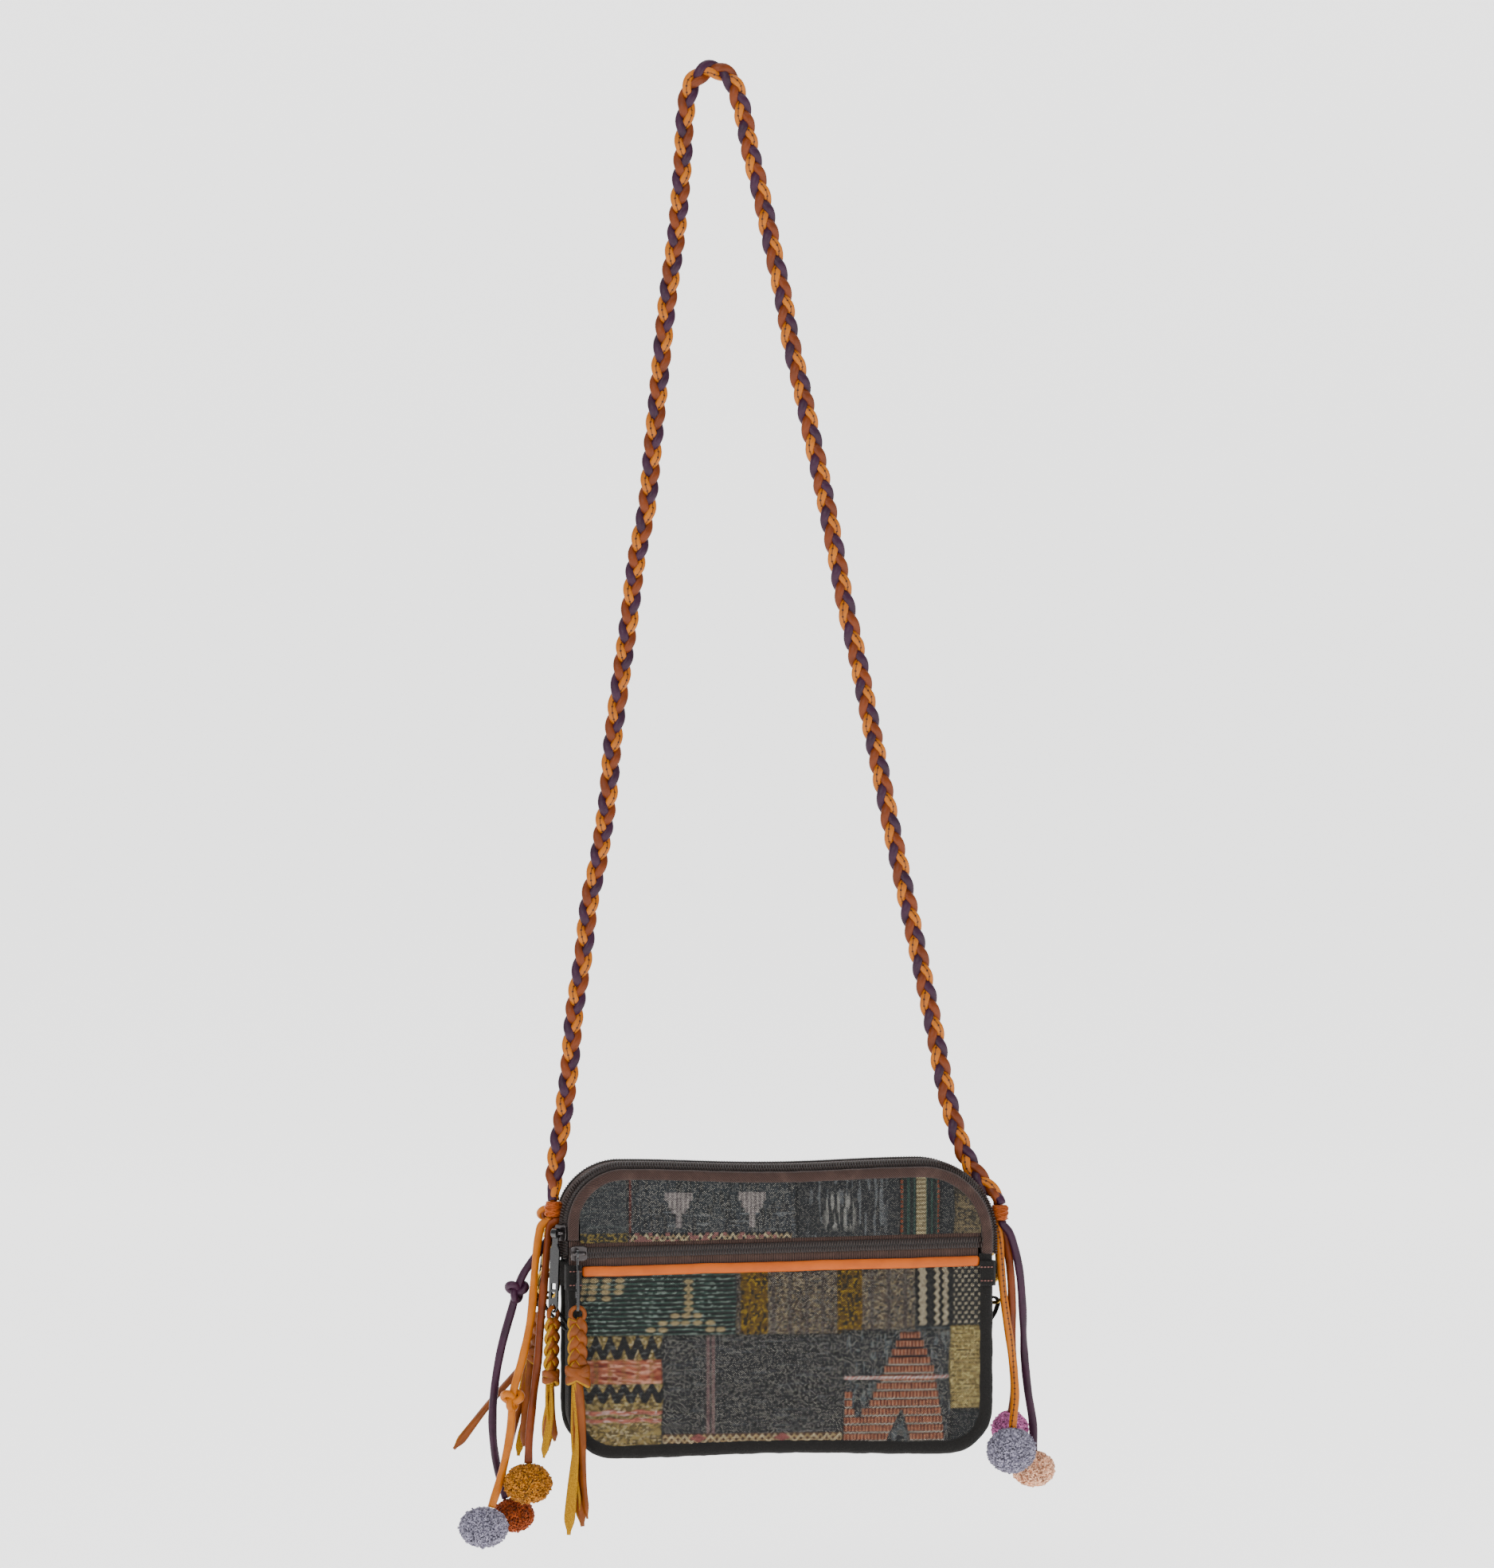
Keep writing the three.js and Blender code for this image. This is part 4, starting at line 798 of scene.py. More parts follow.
def outline(upper: bool, left_z: float = ZIP_END_Z, right_z: float = ZIP_END_Z,
            step: float = 2.0) -> Station:
    """Upper or lower half of the bag's outline, from one side's height to the other's.

    It runs along straight sides, quarter circles at the corners and a top or foot that a
    squared sine bends a little.

    Args:
        upper: Whether the half over the top is wanted, left to right, or the lower, right to left.
        left_z: Height where it meets the left side.
        right_z: Height where it meets the right side.
        step: Spacing of the stations.

    Returns:
        The stations.
    """
    def arc(cx: float, cz: float, radius: float, first: float, last: float) -> Array:
        """Part of a circle between two angles in degrees, with its outward directions."""
        count = max(6, int(radius * math.radians(abs(last - first)) / step))
        angle = np.radians(np.linspace(first, last, count))
        return columns(cx + radius * np.cos(angle), cz + radius * np.sin(angle),
                       np.cos(angle), np.sin(angle))

    def flat(x0: float, x1: float, z: float, sense: float, dip: float) -> Array:
        """Top or foot between two corners."""
        count = max(4, int(abs(x1 - x0) / step))
        share = np.linspace(0, 1, count + 2)[1:-1]
        height = z - dip * np.sin(math.pi * share) ** 2
        return columns(x0 + (x1 - x0) * share, height, 0 * share, 0 * share + sense)

    def side(sense: float, z0: float, z1: float) -> Array:
        """Straight side between two heights."""
        height = np.linspace(z0, z1, max(2, int(abs(z1 - z0) / step)))
        return np.stack([0 * height + sense * HALF_WIDTH, height, 0 * height + sense, 0 * height], axis=1)

    if upper:
        left_x, right_x = -HALF_WIDTH + TOP_LEFT_RADIUS, HALF_WIDTH - TOP_RIGHT_RADIUS
        left_top, right_top = BAG_TOP - TOP_LEFT_RADIUS, BAG_TOP - TOP_RIGHT_RADIUS
        rows = [side(-1, left_z, left_top - step), arc(left_x, left_top, TOP_LEFT_RADIUS, 180, 90),
                flat(left_x, right_x, BAG_TOP, 1, TOP_DIP),
                arc(right_x, right_top, TOP_RIGHT_RADIUS, 90, 0), side(1, right_top - step, right_z)]
    else:
        edge, low = HALF_WIDTH - BOTTOM_RADIUS, BAG_BOTTOM + BOTTOM_RADIUS
        rows = [side(1, right_z, low + step), arc(edge, low, BOTTOM_RADIUS, 0, -90),
                flat(edge, -edge, BAG_BOTTOM, -1, -BOTTOM_RISE),
                arc(-edge, low, BOTTOM_RADIUS, -90, -180), side(-1, low + step, left_z)]
    return Station(*np.concatenate(rows).T)


def band_shape(stations: Station, section: Callable[[Array], Array] | Array, slot: int = 0,
               wander: float = 0.0, seed: int = 1) -> Shape:
    """Closed band along the outline, with a little wandering of its surface.

    Args:
        stations: Where the band runs.
        section: Closed section of [out, y] pairs, fixed or by the stations' out_x.
        slot: Material number.
        wander: Size of the wandering.
        seed: Seed of the wandering.

    Returns:
        The band.
    """
    grid = stations.band(section)
    middle = grid.mean(axis=1, keepdims=True)
    along = travelled(stations.path(0.0, 0.0))
    if wander:
        swell = 1 + ripple(along, seed, wander, 26.0)[:, None, None]
        grid = middle + (grid - middle) * swell
    count = grid.shape[1]
    first = grid[0]
    girth = np.linalg.norm(np.diff(first, axis=0, append=first[:1]), axis=1)
    round_ = np.concatenate([[0.0], np.cumsum(girth[:-1])])
    uv = np.stack(np.broadcast_arrays(along[:, None], round_[None]), axis=-1)
    faces = grid_faces(len(grid), count, closed=True)
    last = (len(grid) - 1) * count
    faces += [list(range(count))[::-1], [last + i for i in range(count)]]
    return Shape(grid.reshape(-1, 3), faces, uv.reshape(-1, 2), [slot] * len(faces))


def strip_section(line: Array, thickness: float) -> Array:
    """Closed section of a strip: a line moved half its thickness to either side."""
    direction = unit(np.gradient(line, axis=-2))
    normal = np.stack([direction[..., 1], -direction[..., 0]], axis=-1) * thickness / 2
    return np.concatenate([line + normal, (line - normal)[..., ::-1, :]], axis=-2)


def pocket_z(x: float | Array, offset: float = 0.0) -> float | Array:
    """Height of the pocket zip's line at x, moved up by an offset."""
    return POCKET_ZIP_Z + x * POCKET_SLOPE + offset


def chain_pair(along: float, up: float) -> tuple[float, float]:
    """[out, y] of a place on the front main chain's own axes."""
    tilt = math.sqrt(0.5)
    return (CHAIN_OUT + tilt * (along + up), -(HALF_DEPTH - CHAIN_INSET) + tilt * (along - up))


def under_chain() -> float:
    """Height of a tape's middle under the chain, on the chain's own axes."""
    return -(CHAIN_THICKNESS / 2 + 0.3 + TAPE_THICKNESS / 2)


def gusset_line(out_x: Array, shift: float = 0.0) -> Array:
    """Middle line of the gusset, a parabola that is hollower where the outline faces sideways."""
    y = np.linspace(-14.4, 14.4, 15)
    edge = -GUSSET_THICKNESS - 1 + shift
    middle = -GUSSET_THICKNESS - GUSSET_SAG * np.abs(np.atleast_1d(out_x)) ** 2 + shift
    out = edge + (middle[:, None] - edge) * (1 - (y / 14.4) ** 2)
    return np.stack(np.broadcast_arrays(out, y), axis=-1)


@dataclass
class Canvas:
    """Pattern of a cloth panel at points given in millimetres from the bag's middle."""

    x: Array
    z: Array

    def __post_init__(self) -> None:
        """Starts with plain charcoal."""
        self.tint = np.zeros((*self.x.shape, 3)) + np.array(rgb("#3A4145"))
        self.relief = np.zeros_like(self.x)
        self.fleck = np.full_like(self.x, 0.35)

    def paint(self, mask: Array, colour: str, fleck: float | None = None) -> None:
        """Colours where the mask is 1."""
        self.tint += mask[..., None] * (np.array(rgb(colour)) - self.tint)
        if fleck is not None:
            self.fleck += mask * (fleck - self.fleck)

    def lift(self, mask: Array, height: float) -> None:
        """Raises the cloth where the mask is 1."""
        self.relief += mask * height

    def stored(self) -> dict[str, Array]:
        """Values that the woven finish reads from the mesh."""
        return {"tint": self.tint.reshape(-1, 3), "fleck": self.fleck.ravel()}


def between(value: Array, low: float | Array, high: float | Array, soft: float = 0.4) -> Array:
    """1 between two limits, 0 outside, with a soft edge."""
    return np.clip((value - low) / soft + 0.5, 0, 1) * np.clip((high - value) / soft + 0.5, 0, 1)


def near(value: Array, middle: float | Array, reach: float | Array) -> Array:
    """1 within a reach of a middle, 0 outside, with a soft edge."""
    return between(value, middle - reach, middle + reach)


def triangle_wave(value: Array, pitch: float) -> Array:
    """0 to 1 and back over each pitch."""
    return 1 - np.abs((value / pitch) % 1.0 * 2 - 1)


def weave_noise(c: Canvas, along_x: float, along_z: float, seed: int) -> Array:
    """Noise stretched along the threads, its cell sizes in millimetres."""
    return value_noise(c.x / along_x, c.z / along_z, seed)


def threads(c: Canvas, seed: int, along_x: float = 1.24, along_z: float = 1.0) -> Array:
    """A random value from 0 to 1 for each thread crossing."""
    lattice = np.random.default_rng(seed).random((128, 128))
    row = np.floor(c.z / along_z).astype(int)
    column = np.floor(c.x / along_x + row % 2 * 0.5).astype(int)
    return lattice[column % 128, row % 128]


def plain_charcoal(c: Canvas, mask: Array) -> None:
    """Charcoal plain weave with an olive-speckled band at its foot."""
    c.paint(mask, "#33383B", 0.4)
    c.paint(mask * (weave_noise(c, 9, 0.9, 3) > 0.74), "#4B5151")
    foot = mask * between(c.z, -663.0, -656.4)
    c.paint(foot, "#2A2A22", 0.1)
    c.paint(foot * (threads(c, 4) > 0.5), "#8B7840")


def ikat_steps(c: Canvas, mask: Array) -> None:
    """Blue-grey cloth with two stepped wedges on stems and a patterned foot."""
    c.paint(mask, "#343A3F", 0.6)
    c.paint(mask * (weave_noise(c, 1.0, 7, 5) > 0.62), "#1E2225")
    c.paint(mask * (weave_noise(c, 9, 1.1, 6) > 0.7) * between(c.z, -654, -643, 3), "#6A6F72")
    for centre in (-58.9, -16.9):
        half = np.select([c.z > -638.2, c.z > -642.4, c.z > -645.4], [7.8, 6.0, 4.0], 1.7)
        wedge = mask * near(c.x, centre, half) * between(c.z, -653.6, -633.6)
        c.paint(wedge, "#857C7B", 0.5)
        c.paint(wedge * (triangle_wave(c.x, 2.5) > 0.6), "#AFA6A1")
        c.lift(wedge, 0.3)
    c.paint(mask * between(c.x, -87.2, -85.9), "#6A2C20")
    foot = mask * between(c.z, -663.0, -656.2) * between(c.x, -87, 6)
    c.paint(foot, "#131416", 0.1)
    saw = triangle_wave(c.x, 6.2) * 4.4 - 661.6
    c.paint(foot * near(c.z, saw, 1.0), "#D2C29C")
    c.paint(foot * near(c.z, -1319.2 - saw, 0.7), "#A8906C")
    c.lift(foot * near(c.z, saw, 1.1), 0.35)
    c.paint(foot * (threads(c, 8, 2.5, 2.0) > 0.76), "#94655F")


def streaked_charcoal(c: Canvas, mask: Array) -> None:
    """Dark cloth with pale upright streaks."""
    c.paint(mask, "#25292C", 0.35)
    streak = weave_noise(c, 1.1, 13, 9)
    c.paint(mask * (streak > 0.72) * between(c.x, 16, 60, 6), "#686C6E")
    bright = weave_noise(c, 0.9, 8, 10) > 0.6
    c.paint(mask * bright * between(c.x, 25, 42, 3) * between(c.z, -655, -635, 4), "#9A9993")


def green_stripes(c: Canvas, mask: Array) -> None:
    """Dark green upright stripes with cream and orange threads."""
    c.paint(mask, "#14201C", 0.2)
    c.paint(mask * (triangle_wave(c.x, 3.4) > 0.62), "#2F4A40")
    cream = mask * between(c.x, 77.6, 83.2)
    c.paint(cream, "#B9AB86", 0.0)
    c.paint(cream * (triangle_wave(c.z, 2.4) > 0.6), "#7A6C4C")
    c.lift(cream, 0.3)
    for x in (69.2, 90.6):
        c.paint(mask * near(c.x, x, 0.7) * (triangle_wave(c.z, 2.8) > 0.3), "#A2502E")


def beige_tweed(c: Canvas, mask: Array) -> None:
    """Brown and grey tweed with mustard-olive upright stripes."""
    c.paint(mask, "#5C4F40", 0.5)
    c.paint(mask * (threads(c, 11) > 0.66), "#2C2926")
    c.paint(mask * (threads(c, 12) > 0.74), "#8E7F63")
    c.paint(mask * (triangle_wave(c.x, 9.5) > 0.8), "#4A4038")
    for low, high in ((-23.5, -8.0), (32.1, 46.3)):
        stripe = mask * between(c.x, low, high)
        c.paint(stripe, "#6B5010", 0.1)
        c.paint(stripe * (threads(c, 13, 1.24, 2.6) > 0.68), "#2E250C")
        c.paint(stripe * (threads(c, 14) > 0.8), "#9C7C24")


BOBBLES = (
    (-682.9, (-112.6, -107.1, -99.7, -92.4)), (-686.4, (-113.5, -108.0, -100.6, -92.6)),
    (-689.5, (-114.0, -108.2, -100.7, -93.3)), (-693.2, (-115.4, -108.9, -100.2)),
    (-684.1, (-53.3,)), (-688.2, (-53.3,)), (-692.3, (-53.3,)), (-695.9, (-53.3,)),
    (-699.5, (-53.3,)), (-703.2, (-61.1, -54.7, -48.3)),
    (-707.3, (-68.0, -61.1, -55.2, -48.3, -40.9)), (-711.2, (-74.9, -68.0, -40.9, -35.0)),
)


def ribbed_green(c: Canvas, mask: Array) -> None:
    """Green-black ribs across with raised cream bobbles."""
    c.paint(mask, "#141B19", 0.15)
    rib = triangle_wave(c.z, 2.6)
    c.paint(mask * (rib > 0.58), "#3A544A")
    c.paint(mask * (rib > 0.5) * (threads(c, 15, 1.9, 1.3) > 0.7), "#84958A")
    c.lift(mask * rib, 0.45)
    for z, places in BOBBLES:
        for x in places:
            spot = np.exp(-(((c.x - x) / 2.3) ** 2 + ((c.z - z) / 1.2) ** 2) ** 1.8)
            c.paint(mask * np.clip(spot * 2.0, 0, 1), "#B9A57A", 0.0)
            c.lift(mask * spot, 1.0)
    stem = mask * between(c.x, -54.0, -52.6) * between(c.z, -702, -683)
    c.paint(stem, "#A5946D", 0.0)


def bold_twill(c: Canvas, mask: Array) -> None:
    """Cream and black upright chevron columns."""
    c.paint(mask, "#121314", 0.2)
    slant = triangle_wave(c.z, 4.6)
    for low, high in ((78.4, 84.0), (87.6, 91.6), (92.2, 96.6)):
        column = mask * between(c.x, low, high)
        tooth = between(c.x, low + 1.7 * (1 - slant), high - 1.4 * slant)
        c.paint(column * tooth, "#B9AD92", 0.0)
        c.lift(column * tooth, 0.6)
    mottled = mask * between(c.x, 99.1, 115)
    c.paint(mottled, "#2B2B2A")
    knot = (triangle_wave(c.x + np.floor(c.z / 2.6) * 1.9, 3.8) > 0.5) & (triangle_wave(c.z, 2.6) > 0.35)
    c.paint(mottled * knot, "#A79D86", 0.0)
    c.lift(mottled * knot, 0.5)


def zigzag_bands(c: Canvas, mask: Array) -> None:
    """Khaki cloth with black bands of woven points, a salmon band and two salmon wavy lines."""
    c.paint(mask, "#6E5E38", 0.2)
    c.paint(mask * (threads(c, 19) > 0.5), "#A8925A")
    c.paint(mask * (threads(c, 26) > 0.8), "#C9B78C")
    pitch = 7.95
    down = triangle_wave(c.x + 110 + pitch / 2, pitch)
    for top, foot, tall, short in ((-714.5, -728.0, 8.0, 6.0), (-741.4, -752.6, 5.4, 5.6)):
        hanging = np.clip(down - 0.2, 0, 1) / 0.8 * tall
        standing = np.clip(0.65 - down, 0, 1) / 0.65 * short
        dark = mask * between(c.z, foot + standing, top - hanging)
        c.paint(dark, "#141416", 0.15)
        c.paint(dark * (weave_noise(c, 2.6, 0.8, 27) > 0.76), "#5C5E5C")
        c.lift(dark, -0.2)
    salmon = mask * between(c.z, -741.4, -728.0)
    c.paint(salmon, "#C47458", 0.0)
    c.paint(salmon * (weave_noise(c, 5.0, 0.9, 28) > 0.6), "#8E4632")
    c.paint(salmon * (weave_noise(c, 4.4, 1.0, 20) > 0.56), "#ECA88C")
    c.paint(salmon * (down < 0.3) * (threads(c, 29) > 0.5), "#A8764A")
    c.lift(salmon * weave_noise(c, 5.0, 1.0, 20), 0.7)
    for z in (-757.8, -762.2):
        wave = z + 0.5 * np.sin(c.x * 2 * math.pi / 17)
        blob = 0.85 + 0.45 * np.abs(np.sin(c.x * math.pi / 8.6))
        line = mask * near(c.z, wave, blob)
        c.paint(line, "#C87A68", 0.0)
        c.paint(line * (weave_noise(c, 4.0, 0.7, 30) > 0.6), "#EBC0B4")
        c.lift(line, 0.8)


def pink_line_tweed(c: Canvas, mask: Array) -> None:
    """Charcoal tweed with a pink double line and a twisted cream band at its foot."""
    c.paint(mask, "#2E3032", 0.8)
    c.paint(mask * (threads(c, 21) > 0.7), "#17191B")
    c.paint(mask * (weave_noise(c, 12, 0.9, 22) > 0.76), "#45484B")
    for x in (-42.2, -39.2):
        c.paint(mask * near(c.x, x, 1.0), "#7E6462", 0.4)
    foot = mask * between(c.z, -776.6, -770.3)
    c.paint(foot, "#5E4636", 0.1)
    saw = triangle_wave(c.x, 7.4) * 4.2 - 775.6
    c.paint(foot * near(c.z, saw, 1.0), "#D6C29A")
    c.paint(foot * near(c.z, -1546.9 - saw, 0.8), "#C2A87C")
    c.lift(foot * near(c.z, saw, 1.1), 0.35)
    for x in (-47.8, 0.4):
        diamond = np.abs(c.x - x) / 5.0 + np.abs(c.z + 772.8) / 2.6 < 1
        c.paint(foot * diamond, "#A0605A")


def brick_pyramid(c: Canvas, mask: Array) -> None:
    """Pinkish brown pyramid of roped rows on a charcoal ground."""
    c.paint(mask, "#26292C", 0.9)
    c.paint(mask * (weave_noise(c, 1.1, 4, 23) > 0.7), "#5B6164")
    drop = -714.0 - c.z
    row = np.floor(drop / 4.8)
    within = drop - row * 4.8
    left = np.interp(row, [0, 4, 8, 9, 10], [68.1, 58.9, 50.4, 46.0, 34.7])
    right = np.interp(row, [0, 4, 8, 12], [79.9, 87.6, 91.0, 93.6])
    brick = between(c.x, left, right) * between(drop, 0, 62)
    gap = np.interp(drop, [44.0, 60.0], [0.5, 7.0])
    notch = between(c.x, 69.0 - gap * 1.2, 69.0 + gap * 0.7) * (drop > 44)
    column = between(c.x, 36.2, 40.8 + 1.2 * np.sin(row * 2.3)) * between(row, 6.5, 9.5)
    rust = mask * np.clip(brick * (1 - notch) + column, 0, 1)
    c.paint(rust, "#1E1817", 0.1)
    rope = rust * between(within, 0.2, 3.5)
    knot = triangle_wave(c.x + row * 0.9, 2.0)
    c.paint(rope, "#94553E", 0.0)
    # Painted highlight and painted shade: the rope's raised twists are painted paler and its low twists
    # darker.
    c.paint(rope * (knot > 0.5), "#BE8468")
    c.paint(rope * (knot < 0.2), "#5E3026")
    c.lift(rope * (0.4 + 0.6 * knot), 0.9)
    wave = 4.15 + 0.3 * np.sin(c.x * 2 * math.pi / 2.6)
    thread = rust * (row > 2) * near(within, wave, 0.4)
    c.paint(thread, "#BFB6A6", 0.0)
    c.lift(thread, 0.3)
    line = mask * between(c.z, -740.6, -738.8) * between(c.x, 35.8, 97)
    c.paint(line, "#C98A80", 0.0)
    c.paint(line * (triangle_wave(c.x - c.z, 2.6) > 0.5), "#E3D6CC")
    c.lift(line, 0.7)


def khaki_rib(c: Canvas, mask: Array) -> None:
    """Khaki cloth ribbed across."""
    c.paint(mask, "#A8935C", 0.2)
    # Painted shade: the troughs between the ribs are painted darker.
    c.paint(mask * (triangle_wave(c.z, 2.4) < 0.3), "#665A32")
    c.paint(mask * (threads(c, 24) > 0.7), "#CBB87C")
    c.lift(mask * triangle_wave(c.z, 2.4), 0.3)


def charcoal(c: Canvas, mask: Array) -> None:
    """Plain charcoal weave."""
    c.paint(mask, "#24282B", 0.35)


def beige_corner(c: Canvas, mask: Array) -> None:
    """Beige slip of cloth in the corner."""
    c.paint(mask, "#7A6C50", 0.2)
    c.paint(mask * (threads(c, 25) > 0.6), "#403A2E")


@dataclass(frozen=True)
class Patch:
    """One cloth patch: its edges in millimetres and the pattern it carries."""

    left: float
    right: float
    bottom: float
    top: float
    pattern: Callable[[Canvas, Array], None]


PATCHES = (
    Patch(-130, -87.8, -670, -600, plain_charcoal), Patch(-87.8, 8.7, -670, -600, ikat_steps),
    Patch(8.7, 68.3, -670, -600, streaked_charcoal), Patch(68.3, 91.3, -670, -600, green_stripes),
    Patch(91.3, 99.6, -670, -600, charcoal), Patch(99.6, 130, -670, -600, beige_corner),
    Patch(-130, -25.8, -714.3, -670, ribbed_green), Patch(-25.8, 77.5, -714.5, -670, beige_tweed),
    Patch(77.5, 130, -710.5, -670, bold_twill), Patch(-130, -68, -800, -714.3, zigzag_bands),
    Patch(-68, 35.3, -800, -714.5, pink_line_tweed), Patch(35.3, 97, -800, -712.7, brick_pyramid),
    Patch(97, 130, -758, -710.5, khaki_rib), Patch(97, 130, -800, -758, charcoal),
)


def edge_span(x: Array, inset_top: float, inset_bottom: float) -> tuple[Array, Array]:
    """Lowest and highest point of the bag's outline at x."""
    def height(stations: Station, inset: float) -> Array:
        """Height of the drawn-in outline at each place."""
        path = stations.path(-inset, 0.0)
        order = np.argsort(path[:, 0])
        return np.interp(x, path[order, 0] - BAG_X, path[order, 2])
    lower = outline(False, -700, -700, 1.0)
    upper = outline(True, -660, -660, 1.0)
    return height(lower, inset_bottom), height(upper, inset_top)


def sheet(x: Array, y: Array, z: Array) -> Shape:
    """Grid of cloth, x from the bag's middle, mapped by x and z."""
    points = np.stack([x + BAG_X, y, z], axis=-1).reshape(-1, 3)
    faces = grid_faces(*x.shape)
    return Shape(points, faces, np.stack([x, z], axis=-1).reshape(-1, 2), [0] * len(faces))


@dataclass(frozen=True)
class ClothPanel(Assembly):
    """Front panel of sewn patches, between two heights that follow the pocket's slant."""

    name: str
    low: float
    high: float
    crown: float
    step: float = 0.53

    def build(self) -> None:
        """Makes the panel, a grid crowned by even powers, with noise and the pattern's relief."""
        half = HALF_WIDTH - 6.9
        x = np.linspace(-half, half, int(2 * half / self.step))
        floor, ceiling = edge_span(x, PIPING_WIDTH - 1.2, BORDER_WIDTH - 1.2)
        line_low = np.where(self.low < -50, floor, pocket_z(x, self.low))
        line_high = np.where(self.high > 50, ceiling, pocket_z(x, self.high))
        low = np.minimum(np.maximum(floor, line_low), line_high - 0.5)
        high = np.minimum(ceiling, line_high)
        rows = max(8, int((high - low).max() / self.step))
        share = np.linspace(0, 1, rows)[:, None]
        canvas = Canvas(np.broadcast_to(x, (rows, len(x))).copy(), low + (high - low) * share)
        seam = np.full_like(canvas.x, 99.0)
        for patch in PATCHES:
            wobble = 0.5 * np.sin(canvas.z / 7 + patch.left)
            mask = (between(canvas.x, patch.left + wobble, patch.right + wobble, 0.3)
                    * between(canvas.z, patch.bottom, patch.top, 0.3))
            patch.pattern(canvas, mask)
            for gap in (canvas.x - patch.left - wobble, canvas.x - patch.right - wobble):
                inside = between(canvas.z, patch.bottom, patch.top, 0.3) > 0.5
                seam = np.minimum(seam, np.where(inside, np.abs(gap), 99))
            for gap in (canvas.z - patch.bottom, canvas.z - patch.top):
                inside = between(canvas.x, patch.left, patch.right, 0.3) > 0.5
                seam = np.minimum(seam, np.where(inside, np.abs(gap), 99))
        canvas.lift(np.exp(-(seam / 0.8) ** 2), -0.8)
        canvas.lift(1 - np.exp(-(seam / 5.0) ** 2), 0.5)
        # Painted shade: the cloth is darkened along the sunk seams between patches.
        canvas.tint *= (1 - 0.55 * np.exp(-(seam / 0.7) ** 2))[..., None]
        dome = self.crown * (1 - (canvas.x / half) ** 2) * (1 - (2 * share - 1) ** 4)
        soft = 0.45 * (value_noise(canvas.x / 24, canvas.z / 18, 31) - 0.5)
        y = -(PANEL_Y - 0.9) - dome - soft - canvas.relief * 0.8
        add_piece(f"{self.name}_cloth", sheet(canvas.x, y, canvas.z), [WEAVE], [self.name],
                  stored=canvas.stored())


@dataclass(frozen=True)
class Wall(Assembly):
    """Cloth wall inside the outline, slightly rippled, in millimetres.

    Its top is an offset from the pocket zip's line, or none for the full height.
    """

    name: str
    node: str
    depth: float
    inset: float
    finish: Finish
    top: float | None = None
    bulge: float = 0.0
    columns: int = 150
    rows: int = 110

    def build(self) -> None:
        """Makes the wall, a grid moved by noise and by fourth powers of its two shares."""
        half = HALF_WIDTH - self.inset
        x = np.linspace(-half, half, self.columns)
        floor, ceiling = edge_span(x, self.inset, self.inset)
        high = ceiling if self.top is None else np.minimum(ceiling, pocket_z(x, self.top))
        share = np.linspace(0, 1, self.rows)[:, None]
        z = floor + (np.maximum(high, floor + 1) - floor) * share
        grid_x = np.broadcast_to(x, z.shape)
        depth = self.depth + 0.25 * (value_noise(grid_x / 15, z / 15, 41) - 0.5)
        depth = depth + self.bulge * (1 - (grid_x / half) ** 4) * (1 - (2 * share - 1) ** 4)
        stored = None
        if self.finish is WEAVE:
            canvas = Canvas(np.array(grid_x), z)
            beige_tweed(canvas, np.ones_like(z))
            stored = canvas.stored()
        add_piece(self.name, sheet(grid_x, depth, z), [self.finish], [self.node], stored=stored)


def teeth(path: Array, across: Array, normal: Array) -> Shape:
    """Coil loops in two rows along even points, each row half a pitch from the other."""
    tangent = unit(np.gradient(path, axis=0))
    bead = ball((0, 0, 0), (1, 1, 1), 5, 8)
    parts = []
    for row in (-1, 1):
        for place, a, n, t in zip(path, across, normal, tangent):
            centre = place + a * row * CHAIN_WIDTH * 0.255 + t * row * TOOTH_PITCH * 0.25 + n * 0.35
            frame = np.stack([a * CHAIN_WIDTH * 0.27 + t * row * 0.15, t * TOOTH_PITCH * 0.34, n * 1.0])
            parts.append(Shape(bead.points @ frame + centre, bead.faces, bead.uv, bead.slots))
    return Shape.gather(parts)


def stitches(places: Array, direction: Array, normal: Array, length: float, slot: int) -> Shape:
    """Short raised stitches, each a stretched ball."""
    bead = ball((0, 0, 0), (1, 1, 1), 6, 8, slot)
    side = unit(np.cross(direction, normal))
    parts = [Shape(bead.points @ np.stack([d * length / 2, s * 0.38, n * 0.38]) + p, bead.faces,
                   bead.uv, bead.slots) for p, d, s, n in zip(places, direction, side, normal)]
    return Shape.gather(parts)


